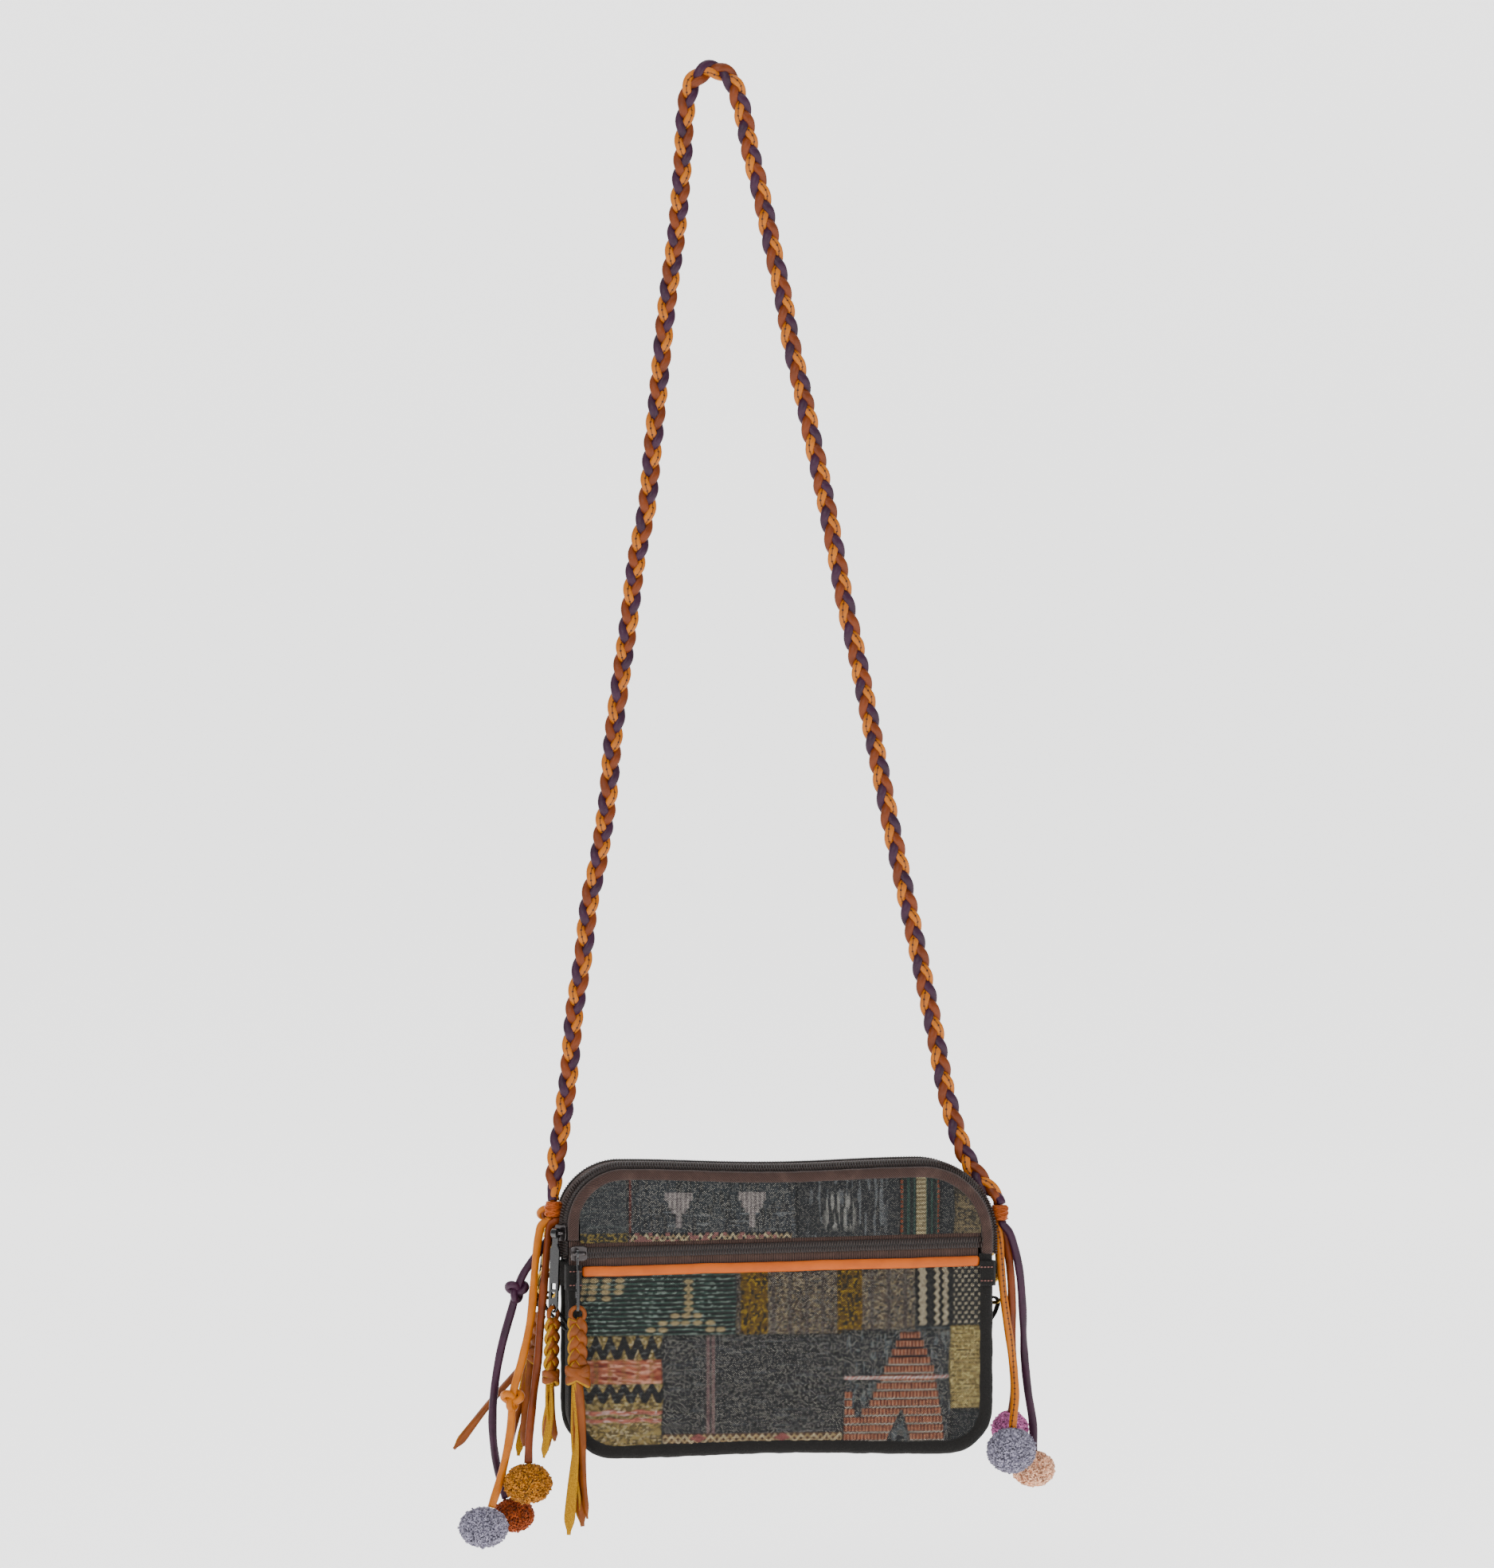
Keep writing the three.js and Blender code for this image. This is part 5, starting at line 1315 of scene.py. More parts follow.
@dataclass(frozen=True)
class Shell(Assembly):
    """Cloth walls, bindings and gusset of the bag, in millimetres."""

    margin: float = 1.2
    binding_step: float = 1.6
    gusset_step: float = 2.4
    gap: float = 0.3

    def build(self) -> None:
        """Makes the walls, the bindings of both faces and the gusset."""
        walls = (
            ClothPanel("front_upper_panel", 5.5, 99, 0.8),
            ClothPanel("front_pocket_panel", -99, -13.3, 1.7),
            Wall("back_panel_cloth", "back_panel", 19.6, BORDER_WIDTH - self.margin, WEAVE, bulge=0.5),
            Wall("pocket_lining_cloth", "pocket_lining_wall", -12.7, 6.0, LINING, top=5.5),
            Wall("divider_cloth", "compartment_divider", 3.4, 8.5, LINING),
        )
        for wall in walls:
            wall.build()
        front_top = pocket_z(-HALF_WIDTH + PIPING_WIDTH, TAPE_UP) + self.gap
        front_foot = pocket_z(-HALF_WIDTH, -TAPE_DOWN) - self.gap
        self.build_bindings("front", 1.0, front_top, front_foot)
        self.build_bindings("back", -1.0, ZIP_END_Z, ZIP_END_Z)
        stations = outline(False, step=self.gusset_step)
        shape = band_shape(stations, strip_section(gusset_line(stations.out_x), GUSSET_THICKNESS))
        add_piece("gusset_felt", shape, [FELT], ["felt_gusset"])

    def build_bindings(self, face: str, turn: float, piping_end: float, border_end: float) -> None:
        """Makes one face's piping over the top and felt border round the foot.

        Args:
            face: Name of the face.
            turn: 1 for the front, -1 for the back.
            piping_end: Height where the piping ends on the left.
            border_end: Height where the border ends on the left.
        """
        roll = round_section(PIPING_WIDTH, PIPING_DEPTH, 22, 2.5)
        roll = (roll + (-PIPING_WIDTH / 2, -HALF_DEPTH + PIPING_DEPTH / 2)) * (1, turn)
        shape = band_shape(outline(True, piping_end, ZIP_END_Z, self.binding_step), roll, wander=0.03,
                           seed=5)
        add_piece(f"{face}_piping_tape", shape, [TWILL], [f"{face}_piping"])
        hem = round_section(BORDER_WIDTH, BORDER_DEPTH, 24, 2.3)
        hem = (hem + (-BORDER_WIDTH / 2, -HALF_DEPTH + BORDER_DEPTH / 2)) * (1, turn)
        shape = band_shape(outline(False, border_end, ZIP_END_Z, self.binding_step), hem, wander=0.05,
                           seed=7)
        add_piece(f"{face}_border_felt", shape, [FELT], [f"{face}_felt_border"])


@dataclass(frozen=True)
class ZipEndPatch(Named):
    """Felt patch over the end of the main zips on one side, in millimetres."""

    sign: float
    top: float = -674.0
    foot: float = -688.0
    thickness: float = 1.2
    proud: float = 0.9
    fold: float = 2.1
    stitch_rows: tuple[float, ...] = (-677.4, -685.2)
    stitch_pitch: float = 1.9
    stitch_length: float = 1.5

    def build(self) -> None:
        """Makes the folded patch, its corners quarter circles, and two rows of stitches."""
        outer = HALF_DEPTH + self.proud
        bend = np.linspace(0, math.pi / 2, 6)
        corner = np.stack([-1.2 + self.fold * np.sin(bend), -outer + self.fold * (1 - np.cos(bend))],
                          axis=1)
        hollow = gusset_line(np.array([1.0]), 1.9)[0, 2:-2]
        front = np.concatenate([[(-7.6, -outer), (-4.5, -outer)], corner, [(0.9, -15.0)]])
        line = np.concatenate([front, hollow, (front * (1, -1))[::-1]])
        height = np.linspace(self.top, self.foot, 12)
        frame = Station(0 * height + self.sign * HALF_WIDTH, height, 0 * height + self.sign, 0 * height)
        shape = band_shape(frame, strip_section(line, self.thickness), wander=0.004, seed=11)
        rows = []
        for z in self.stitch_rows:
            out = np.arange(-7.0, 0.2, self.stitch_pitch)
            place = columns(self.sign * (HALF_WIDTH + out) + BAG_X, 0 * out - outer - 0.75, 0 * out + z)
            way = unit(np.tile((1.0, 0.0, 0.12), (len(out), 1)))
            rows.append(stitches(place, way, np.tile((0.0, -1.0, 0.0), (len(out), 1)),
                                 self.stitch_length, 1))
        thread = Leather(f"{self.name}_patch_thread", "felt", colour="#7E5650", deep="#5E403C")
        self.add("end_patch", Shape.gather([shape, *rows]), [FELT, thread], "zip_end_patch")


@dataclass(frozen=True)
class MainZip(Named):
    """One of the two zips over the top, in millimetres. Its turn is 1 in front, -1 behind."""

    turn: float
    step: float = 1.6
    fine_step: float = 0.5

    def build(self) -> None:
        """Makes the tape and the coil, both bands along the outline."""
        half = CHAIN_WIDTH / 2
        under = under_chain()
        pipe_back = -HALF_DEPTH + PIPING_DEPTH + 0.5
        tape_line = np.array([(-PIPING_WIDTH, pipe_back), (-2.6, pipe_back),
                              chain_pair(-half * 0.8, under), chain_pair(-0.3, under)])
        stations = outline(True, step=self.step)
        flip = (1, self.turn)
        shape = band_shape(stations, strip_section(tape_line, TAPE_THICKNESS) * flip)
        self.add("tape_cloth", shape, [TAPE], "main_zip_tape")
        middle = chain_pair(0, 0)
        fine = outline(True, step=self.fine_step)
        line = fine.path(middle[0], middle[1] * self.turn)
        path = evenly(line, TOOTH_PITCH)
        chosen = np.searchsorted(travelled(line), travelled(path)).clip(0, len(line) - 1)
        out = columns(fine.out_x, 0 * fine.x, fine.out_z)[chosen]
        inward = np.array((0.0, self.turn, 0.0))
        loops = teeth(path, unit(out + inward), unit(out - inward))
        corners = ((-half, -0.8), (-half, 0.1), (half, 0.1), (half, -0.8))
        core = np.array([chain_pair(along, up) for along, up in corners])
        bar = band_shape(stations, core * flip, slot=1)
        self.add("coil", Shape.gather([loops, bar]), [COIL, COIL_CORE], "main_zip_chain")


@dataclass(frozen=True)
class TopBand(Assembly):
    """Cloth band between the two main zips."""

    step: float = 1.6

    def build(self) -> None:
        """Makes the band, one section and its mirror image along the outline."""
        under = under_chain()
        half_line = np.array([chain_pair(0.3, under), chain_pair(CHAIN_WIDTH / 2, under),
                              (0.6, -6.2), (-2.4, -3.2), (-3.0, 0.0)])
        line = np.concatenate([half_line, (half_line * (1, -1))[-2::-1]])
        shape = band_shape(outline(True, step=self.step), strip_section(line, TAPE_THICKNESS),
                           wander=0.01, seed=13)
        add_piece("top_band_cloth", shape, [TWILL], ["top_band_between_zips"])


@dataclass(frozen=True)
class PocketZip(Named):
    """Tapes, coil and leather trim of the pocket's zip, in millimetres."""

    name: str = "pocket"
    left: float = -121.0
    right: float = 115.3
    lower_tape_right: float = 113.7
    tape_depth: float = -17.4
    chain_depth: float = -19.1
    core_depth: float = -18.6
    core_thickness: float = 1.1
    trim_top: float = -7.7
    trim_height: float = 5.8
    trim_half: float = 113.9
    trim_thickness: float = 3.3

    def strip(self, low: float, high: float, right: float, y: float, thick: float) -> Shape:
        """Straight strip along the zip.

        Args:
            low: Lower edge from the zip's line.
            high: Upper edge from the zip's line.
            right: Where it ends.
            y: Its depth.
            thick: Its thickness.

        Returns:
            The strip.
        """
        x = np.linspace(self.left, right, 90)
        path = columns(x + BAG_X, 0 * x + y, pocket_z(x, (low + high) / 2))
        return sweep(path, round_section(high - low, thick, 16, 6.0), (0.0, -1.0, 0.0))

    def build(self) -> None:
        """Makes the tapes, the coil and the trim."""
        upper = self.strip(0.3, TAPE_UP, self.right, self.tape_depth, TAPE_THICKNESS)
        self.add("upper_tape_cloth", upper, [TAPE], "zip_upper_tape")
        lower = self.strip(-TAPE_DOWN, -0.3, self.lower_tape_right, self.tape_depth, TAPE_THICKNESS)
        self.add("lower_tape_cloth", lower, [TAPE], "zip_lower_tape")
        x = np.arange(self.left + 1, self.right + 1.6, TOOTH_PITCH)
        path = columns(x + BAG_X, 0 * x + self.chain_depth, pocket_z(x))
        across = np.tile((0.0, 0.0, 1.0), (len(x), 1))
        loops = teeth(path, across, np.tile((0.0, -1.0, 0.0), (len(x), 1)))
        half = CHAIN_WIDTH / 2
        core = self.strip(-half, half, self.right, self.core_depth, self.core_thickness).with_slot(1)
        self.add("coil", Shape.gather([loops, core]), [COIL, COIL_CORE], "zip_chain")
        self.build_trim()

    def build_trim(self) -> None:
        """Makes the trim, a rounded section swept along the zip and drawn in at its ends."""
        x = np.linspace(-self.trim_half, self.trim_half, 200)
        lift = ripple(x, 17, 0.18, 60)
        middle = self.trim_top - self.trim_height / 2
        path = columns(x + BAG_X, -19.5 - 0.2 * np.abs(lift), pocket_z(x, middle) + lift)
        end = self.trim_half + 0.7
        ends = np.clip(np.minimum(x + end, end - x) / 1.4, 0.25, 1) ** 0.5
        section = round_section(self.trim_height, self.trim_thickness, 18, 2.8)
        self.add("trim_leather", sweep(path, section, swell=ends), [TRIM], "leather_trim")


def plate(loops: Sequence[Sequence[tuple[float, float]]], thickness: float, bevel: float,
          frame: Array, origin: Sequence[float], slot: int = 0) -> Shape:
    """Flat plate with rounded edges, cut from outlines.

    Args:
        loops: Outer outline, then its holes.
        thickness: Thickness over the bevels.
        bevel: Radius of the rounded edges.
        frame: Rows that turn the plate's own axes into the frame's.
        origin: Where its own origin lies.
        slot: Material number.

    Returns:
        The plate.
    """
    curve = bpy.data.curves.new("plate", "CURVE")
    curve.dimensions = "2D"
    curve.fill_mode = "BOTH"
    curve.extrude = thickness / 2 - bevel
    curve.bevel_depth = bevel
    curve.bevel_resolution = 2
    curve.offset = -bevel
    for loop in loops:
        spline = curve.splines.new("POLY")
        spline.points.add(len(loop) - 1)
        for point, (x, y) in zip(spline.points, loop):
            point.co = (x, y, 0.0, 1.0)
        spline.use_cyclic_u = True
    holder = bpy.data.objects.new("plate", curve)
    mesh = bpy.data.meshes.new_from_object(holder)
    points = np.array([v.co for v in mesh.vertices]) @ np.asarray(frame) + np.asarray(origin)
    faces = [list(p.vertices) for p in mesh.polygons]
    bpy.data.objects.remove(holder)
    bpy.data.meshes.remove(mesh)
    bpy.data.curves.remove(curve)
    return Shape(points, faces, points[:, :2].copy(), [slot] * len(faces))


def circle(radius: float, y: float = 0.0, sides: int = 20) -> list[tuple[float, float]]:
    """Points of a circle on the plate's middle line."""
    return [(radius * math.cos(2 * math.pi * k / sides), y + radius * math.sin(2 * math.pi * k / sides))
            for k in range(sides)]


@dataclass(frozen=True)
class Pull(Named):
    """Slider, moulded tab and braided leather pull of one zip, in millimetres."""

    centre: tuple[float, float, float]
    along: tuple[float, float, float]
    normal: tuple[float, float, float]
    bar_along: bool
    shift: float
    tab_length: float
    lean_deg: float
    stand_deg: float
    braid: float
    fringe: float
    strips: tuple[tuple[float, float, float, float], ...]
    strip_width: float = 4.6
    bulk: float = 1.0
    eye_height: float = 6.9
    tab_half: float = 3.2
    tab_thickness: float = 1.6
    loop_radius: float = 4.0
    loop_wire: float = 1.3
    twist: float = 21.0

    @property
    def across(self) -> Array:
        """Direction across the chain."""
        return np.cross(self.normal, self.along)

    @property
    def hang(self) -> Array:
        """Rows that turn a hanging piece's width, height and thickness into the frame's."""
        width = np.asarray(self.normal) if self.bar_along else self.across
        upright = np.array((0.0, 0.0, 1.0))
        frame = np.stack([width, upright, np.cross(width, upright)])
        tilt, lean = math.radians(self.stand_deg), math.radians(self.lean_deg)
        turn_x = np.array([[1, 0, 0], [0, math.cos(tilt), math.sin(tilt)],
                           [0, -math.sin(tilt), math.cos(tilt)]])
        turn_y = np.array([[math.cos(lean), 0, -math.sin(lean)], [0, 1, 0],
                           [math.sin(lean), 0, math.cos(lean)]])
        return frame @ turn_y @ turn_x

    @property
    def eye(self) -> Array:
        """Centre of the tab's eye."""
        bar = np.asarray(self.along) if self.bar_along else self.across
        return np.asarray(self.centre) + np.asarray(self.normal) * self.eye_height + bar * self.shift

    def build(self) -> None:
        """Makes the three pieces over their CAD nodes."""
        self.build_slider()
        self.build_tab()
        self.build_leather()

    def build_slider(self) -> None:
        """Makes the cast slider with its bridge."""
        frame = np.stack([self.along, self.across, self.normal])
        wing = [(-4.6, -3.6), (-2.2, -4.3), (2.6, -4.3), (4.6, -3.3), (4.6, 3.3), (2.6, 4.3),
                (-2.2, 4.3), (-4.6, 3.6)]
        roof = plate([wing], 1.7, 0.5, frame, np.asarray(self.centre) + np.asarray(self.normal) * 2.3)
        rails = []
        for side in (-1, 1):
            x = np.linspace(-4.3, 4.2, 8)
            bow = side * (4.0 - 0.04 * (x - 0.4) ** 2)
            line = columns(x, bow, 0 * x + 1.1) @ frame + np.asarray(self.centre)
            rails.append(sweep(line, round_section(0.9, 2.0, 10, 3.0), self.normal))
        t = np.linspace(0, 1, 15)
        reach = 3.3 * np.sign(2 * t - 1) * np.abs(np.cos(math.pi * t)) ** 0.55
        rise = 2.6 + 4.3 * np.sin(math.pi * t) ** 0.45
        own = columns(reach, 0 * t, rise)
        if not self.bar_along:
            own = own[:, [1, 0, 2]]
        line = own @ frame + np.asarray(self.centre)
        face = self.across if self.bar_along else np.asarray(self.along)
        bridge = sweep(line, round_section(1.5, 1.9, 12, 3.0), face)
        self.add("slider_cast", Shape.gather([roof, *rails, bridge]), [GUNMETAL], "slider", "slider")

    def build_tab(self) -> None:
        """Makes the glossy tab."""
        half, end = self.tab_half, -self.tab_length + self.tab_half
        arc = [(half * math.cos(a), end + half * math.sin(a)) for a in np.linspace(0, -math.pi, 14)]
        slots = [[(-1.5, y - 3.2), (1.5, y - 3.2), (1.5, y), (-1.5, y)] for y in (end + 8.4, end + 13.4)]
        hole = circle(1.8, end)
        if self.bar_along:
            top = [(3 * math.cos(a), 3 * math.sin(a)) for a in np.linspace(math.radians(-53),
                                                                           math.radians(233), 20)]
            outer = [*arc[::-1], (half, -9), (1.8, -6), *top, (-1.8, -6), (-half, -9)]
            shape = plate([outer, circle(1.6), hole, *slots], self.tab_thickness, 0.35, self.hang, self.eye)
        else:
            outer = [*arc[::-1], (half, -9), (1.9, -6), (1.9, -2.2), (-1.9, -2.2), (-1.9, -6), (-half, -9)]
            body = plate([outer, hole, *slots], self.tab_thickness, 0.35, self.hang, self.eye)
            turned = self.hang[[2, 1, 0]] * np.array([[1], [1], [-1]])
            roll = plate([circle(3.0, sides=24), circle(1.6)], 3.6, 0.4, turned, self.eye)
            shape = Shape.gather([body, roll])
        self.add("tab_gloss", shape, [GLOSS], "pull_tab", "pull", smooth=False)

    def build_leather(self) -> None:
        """Makes the loop, braid, knot and fringe.

        The braid's strands follow a sine sideways and a sine of twice its phase in depth.
        """
        radius = self.loop_radius
        knot_z = -2 * radius + 1 - self.braid - 3
        loop = ring_path((0, 0, -radius), (0, 0, radius), (radius, 0, 0), 26)
        shapes = [tube(loop, self.loop_wire, 8)]
        side_by_face = [1, 0, 0, 0, 1, 1, 1, 1]
        def strap(path: Array, width: float, thick: float, facing: Array | Sequence[float]) -> Shape:
            """Flat leather strip with its smooth side outwards and raw edges."""
            section = np.array([(-0.5, -0.2), (-0.36, 0.5), (0.0, 0.6), (0.36, 0.5), (0.5, -0.2),
                                (0.4, -0.5), (0.0, -0.5), (-0.4, -0.5)]) * (width, thick)
            made = sweep(path, section[::-1], facing)
            count = len(section)
            made.slots[:] = [side_by_face[(6 - i % count) % count] if i < (len(path) - 1) * count else 1
                             for i in range(len(made.faces))]
            return made
        drop = np.linspace(0, self.braid, 46)
        for k in range(3):
            phase = 2 * math.pi * (drop / self.twist + k / 3)
            path = columns(3.0 * np.sin(phase), 1.35 * np.sin(2 * phase), -7 - drop)
            shapes.append(strap(path, 5.6, 2.1, (0.0, 1.0, 0.0)))
        for k, (tilt, size) in enumerate(((-0.55, 5.6), (0.5, 5.2), (-0.1, 4.6))):
            turn = np.linspace(0, 2 * math.pi, 28)
            reach = size * self.bulk * np.cos(turn)
            path = columns(reach * math.cos(tilt), -3.4 * np.sin(turn),
                           knot_z + reach * math.sin(tilt) + 1.1 * (k - 1))
            outwards = columns(np.cos(turn), -np.sin(turn), 0 * turn)
            shapes.append(strap(path, 4.4 * self.bulk, 2.0, outwards))
        shapes.append(ball((0, 0, knot_z), (5.0 * self.bulk, 3.4, 4.2 * self.bulk)))
        for k, (lean, stray, curl, share) in enumerate(self.strips):
            t = np.linspace(0, 1, 40)
            length = self.fringe * share
            x = lean * t * length + 1.4 * np.sin(5.0 * t + k) * t
            y = ((-1.3 if k % 2 else 1.1) * (1 - 0.3 * t) + 0.8 * np.sin(4 * t + 2 * k) * t
                 + stray * t * length)
            path = columns(x, y, knot_z - length * t)
            spin = curl * t + 0.7 * np.sin(3 * t + k)
            facing = columns(np.sin(spin), np.cos(spin), 0 * spin)
            taper = np.clip((1.02 - t) * 9, 0.35, 1)
            made = strap(path, self.strip_width, 1.5, facing)
            middle = made.points[:len(t) * 8].reshape(len(t), 8, 3)
            core = middle.mean(axis=1, keepdims=True)
            made.points[:] = (core + (middle - core) * taper[:, None, None]).reshape(-1, 3)
            shapes.append(made)
        shape = Shape.gather(shapes)
        base = np.array((0.0, 0.0, -self.tab_length + self.tab_half))
        own = np.stack([self.hang[2], -self.hang[0], self.hang[1]])
        if own[0][0] < 0:
            own = own * np.array([[-1], [-1], [1]])
        shape.points[:] = (shape.points + base) @ own + self.eye
        self.add("pull_leather", shape, [PULL, SUEDE], "leather_pull", "pull")


def pulls() -> list[Pull]:
    """The pocket's, the front main and the rear main pull."""
    slope = math.atan(POCKET_SLOPE)
    x = -115.9
    tilt = math.sqrt(0.5)
    chain_y = HALF_DEPTH - CHAIN_INSET
    side_x = BAG_X - HALF_WIDTH - CHAIN_OUT
    return [
        Pull("pocket", (x + BAG_X, -19.1, pocket_z(x)), (math.cos(slope), 0.0, math.sin(slope)),
             (0.0, -1.0, 0.0), True, -1.4, 33, 0, -1.6, 28, 90,
             ((-0.045, 0, 2.7, 1.0), (0.035, 0, 0.3, 0.95), (0.05, 0, -0.5, 0.9), (-0.01, 0, 2.3, 0.85)),
             strip_width=6.6, bulk=1.3),
        Pull("front_main", (side_x, -chain_y, -656.0), (0.0, 0.0, 1.0), (-tilt, -tilt, 0.0), False,
             0.0, 45, 2, 0, 29, 46, ((-0.06, 0, 1.2, 1.0), (0.03, 0, -1.4, 0.92), (0.08, 0, 0.5, 0.8),
                                     (-0.02, 0, 2.4, 0.86)), strip_width=5.8),
        Pull("rear_main", (side_x, chain_y, -656.0), (0.0, 0.0, 1.0), (-tilt, tilt, 0.0), False,
             0.0, 45, 8, 0, 20, 62, ((-0.1, 0, 1.0, 1.0), (0.0, 0, -1.8, 0.95), (0.07, 0, 0.8, 0.85),
                                     (-0.46, 0.46, 0.9, 0.96)), strip_width=5.2),
    ]


@dataclass(frozen=True)
class Side(Named):
    """Hardware and binding of one side, in millimetres."""

    sign: float
    x: float
    y: float
    ring_z: float
    binding_x: float
    binding_y: float
    binding_top: float
    binding_height: float = 9.0
    facing_deg: float = -48.0
    ring_radius: float = 8.0
    hook_height: float = 19.0
    swivel_height: float = 3.6
    eye_radius: float = 4.9
    eye_wire: float = 1.1
    play: float = 0.6

    @property
    def eye_z(self) -> float:
        """Height of the swivel eye's middle, stacked up from the ring."""
        return (self.ring_z + self.ring_radius + self.hook_height + self.swivel_height
                + self.eye_radius + self.eye_wire + self.play)

    def bar(self, x: float, y: float, heights: Sequence[float], radius: float, sides: int) -> Shape:
        """Upright round bar through three heights."""
        return tube(np.array([(x, y, height) for height in heights]), radius, sides)

    def build(self) -> None:
        """Makes ring, hook, lever, eye, ring tab and binding over their CAD nodes."""
        turn = math.radians(self.facing_deg)
        u = np.array((math.cos(turn), math.sin(turn), 0.0))
        w = np.array((math.cos(turn + math.pi / 2), math.sin(turn + math.pi / 2), 0.0))
        loop = ring_path((self.x, self.y, self.ring_z), u * self.ring_radius, UP * self.ring_radius, 49)
        ring = tube(loop, 1.0, 12)
        self.add("ring_brass", ring, [BRASS], "ring", "ring")
        self.build_hook(w)
        x, y, eye_z = self.x, self.y, self.eye_z
        loop = ring_path((x, y, eye_z), (0, self.eye_radius, 0), (0, 0, self.eye_radius), 37)
        ring = tube(loop, self.eye_wire, 12)
        post = self.bar(x, y, (eye_z - 4.4, eye_z - 6, eye_z - 8.9), 1.2, 12)
        collar = self.bar(x, y, (eye_z - 5.0, eye_z - 5.7, eye_z - 6.2), 2.1, 16)
        self.add("eye_brass", Shape.gather([ring, post, collar]), [BRASS], "swivel_eye")
        self.build_binding()
        self.build_ring_tab()

    def build_hook(self, w: Array) -> None:
        """Makes the clasp's body and lever."""
        z = self.ring_z + self.ring_radius
        origin = np.array((self.x, self.y, z))
        spine = smooth_route([(0, 0, 20), (3.3, 0, 15.4), (4.65, 0, 9), (4.6, 0, 3), (3.2, 0, -2.1),
                              (0, 0, -3.7), (-3.1, 0, -2.4), (-4.35, 0, 1.4)], 0.9)
        line = origin + spine[:, :1] * w + spine[:, 2:] * UP
        t = np.linspace(0, 1, len(line))
        swell = 1.15 - 0.35 * t + 0.15 * np.sin(math.pi * t)
        body = sweep(line, round_section(2.4, 3.0, 14, 2.4), np.cross(w, UP), swell)
        shoulder = smooth_route([(-0.4, 0, 19), (-2.6, 0, 16), (-3.2, 0, 12.6), (-0.8, 0, 12)], 0.9)
        arm = sweep(origin + shoulder[:, :1] * w + shoulder[:, 2:] * UP,
                    round_section(2.0, 2.8, 12, 2.4), np.cross(w, UP))
        web = ball(origin + w * 0.6 + UP * 15.6, (2.4, 1.4, 3.0))
        barrel_z = z + self.hook_height + 1.4
        rings = [self.bar(self.x, self.y, (barrel_z - h, barrel_z - h + d / 2, barrel_z - h + d), r, 20)
                 for h, d, r in ((1.8, 0.9, 2.9), (0.9, 1.8, 2.5), (-0.9, 0.9, 3.0))]
        self.add("hook_brass", Shape.gather([body, arm, web, *rings]), [BRASS], "hook", "hook")
        latch = smooth_route([(-3.9, 0, 2.8), (-3.7, 0, 6), (-3.4, 0, 9.4), (-4.6, 0, 10.0), (-6.2, 0, 9.6)],
                             0.7)
        lever = sweep(origin + latch[:, :1] * w + latch[:, 2:] * UP, round_section(1.3, 2.3, 12, 2.6),
                      np.cross(w, UP))
        self.add("lever_brass", lever, [BRASS], "hook_lever", "hook_lever")

    def build_binding(self) -> None:
        """Makes the whipping of waxed cord, a helix with crossing turns, and the strap's loop."""
        x, y, top = self.binding_x + BAG_X, self.binding_y, self.binding_top
        low = top - self.binding_height
        turns = 9
        angle = np.linspace(0, 2 * math.pi * turns, turns * 22)
        radius = 4.35 - 0.5 * np.abs(np.linspace(-1, 1, len(angle))) ** 3
        height = np.linspace(low + 0.6, top - 0.6, len(angle))
        helix = columns(x + radius * np.cos(angle), y + radius * np.sin(angle), height)
        shapes = [tube(helix, 0.5, 7)]
        for start in (0.4, 2.6, 4.2):
            a = np.linspace(start, start + 4.4, 50)
            h = np.linspace(low + 1.0, top - 1.0, 50)
            cross = columns(x + 4.75 * np.cos(a), y + 4.75 * np.sin(a), h)
            shapes.append(tube(cross, 0.48, 7))
            mirrored = columns(x + 4.8 * np.cos(-a), y + 4.8 * np.sin(-a), h)
            shapes.append(tube(mirrored, 0.48, 7))
        core = self.bar(x, y, (low + 0.2, (low + top) / 2, top - 0.2), 4.2, 18)
        tilt = math.pi / 4
        centre = np.array((self.x, self.y - self.eye_radius * math.sin(tilt),
                           self.eye_z + self.eye_radius * math.cos(tilt)))
        for k, (slot, shift) in enumerate(((1, -1.1), (2, 1.1))):
            loop = ring_path(centre + (shift, 0, 0), (4.2 + 0.2 * k, 0, 0),
                             (0, 4.2 * math.cos(tilt), -4.2 * math.sin(tilt)), 33)
            shapes.append(tube(loop, 1.7, 10, slot))
        self.add("binding_cord", Shape.gather([*shapes, core]), [WAXED, MUSTARD, RUST],
                 "strap_binding")

    def build_ring_tab(self) -> None:
        """Makes the folded felt tab that carries the ring."""
        way = math.radians(18) + (math.pi if self.sign > 0 else 0.0)
        w = np.array((math.cos(way), math.sin(way), 0.0))
        origin = np.array((self.x, self.y, self.ring_z - self.ring_radius))
        reach = 12.5 if self.sign < 0 else 9.5
        fold = [(3.25 * math.cos(a), 3.25 * math.sin(a)) for a in np.radians(np.linspace(-20, 215, 14))]
        line = [(reach - 1.2, -14.5), (reach * 0.5, -8.0), *fold, (-1.2, -5.4), (reach * 0.45, -13.0),
                (reach - 1.6, -18.5)]
        route = smooth_route([(a, 0.0, b) for a, b in line], 1.0)
        path = origin + route[:, :1] * w + route[:, 2:] * UP
        tangent = unit(np.gradient(path, axis=0))
        facing = unit(np.cross(tangent, np.cross(w, UP)))
        shape = sweep(path, round_section(4.0, 1.3, 12, 4.0), facing)
        self.add("ring_tab_felt", shape, [FELT], "ring_tab")


SIDES = (
    Side("left", -1.0, BAG_X - 130.5, 6.5, -686.5, -128.5, -4.0, -638.7),
    Side("right", 1.0, BAG_X + 126.5, 4.5, -692.0, 128.3, -6.0, -643.0),
)

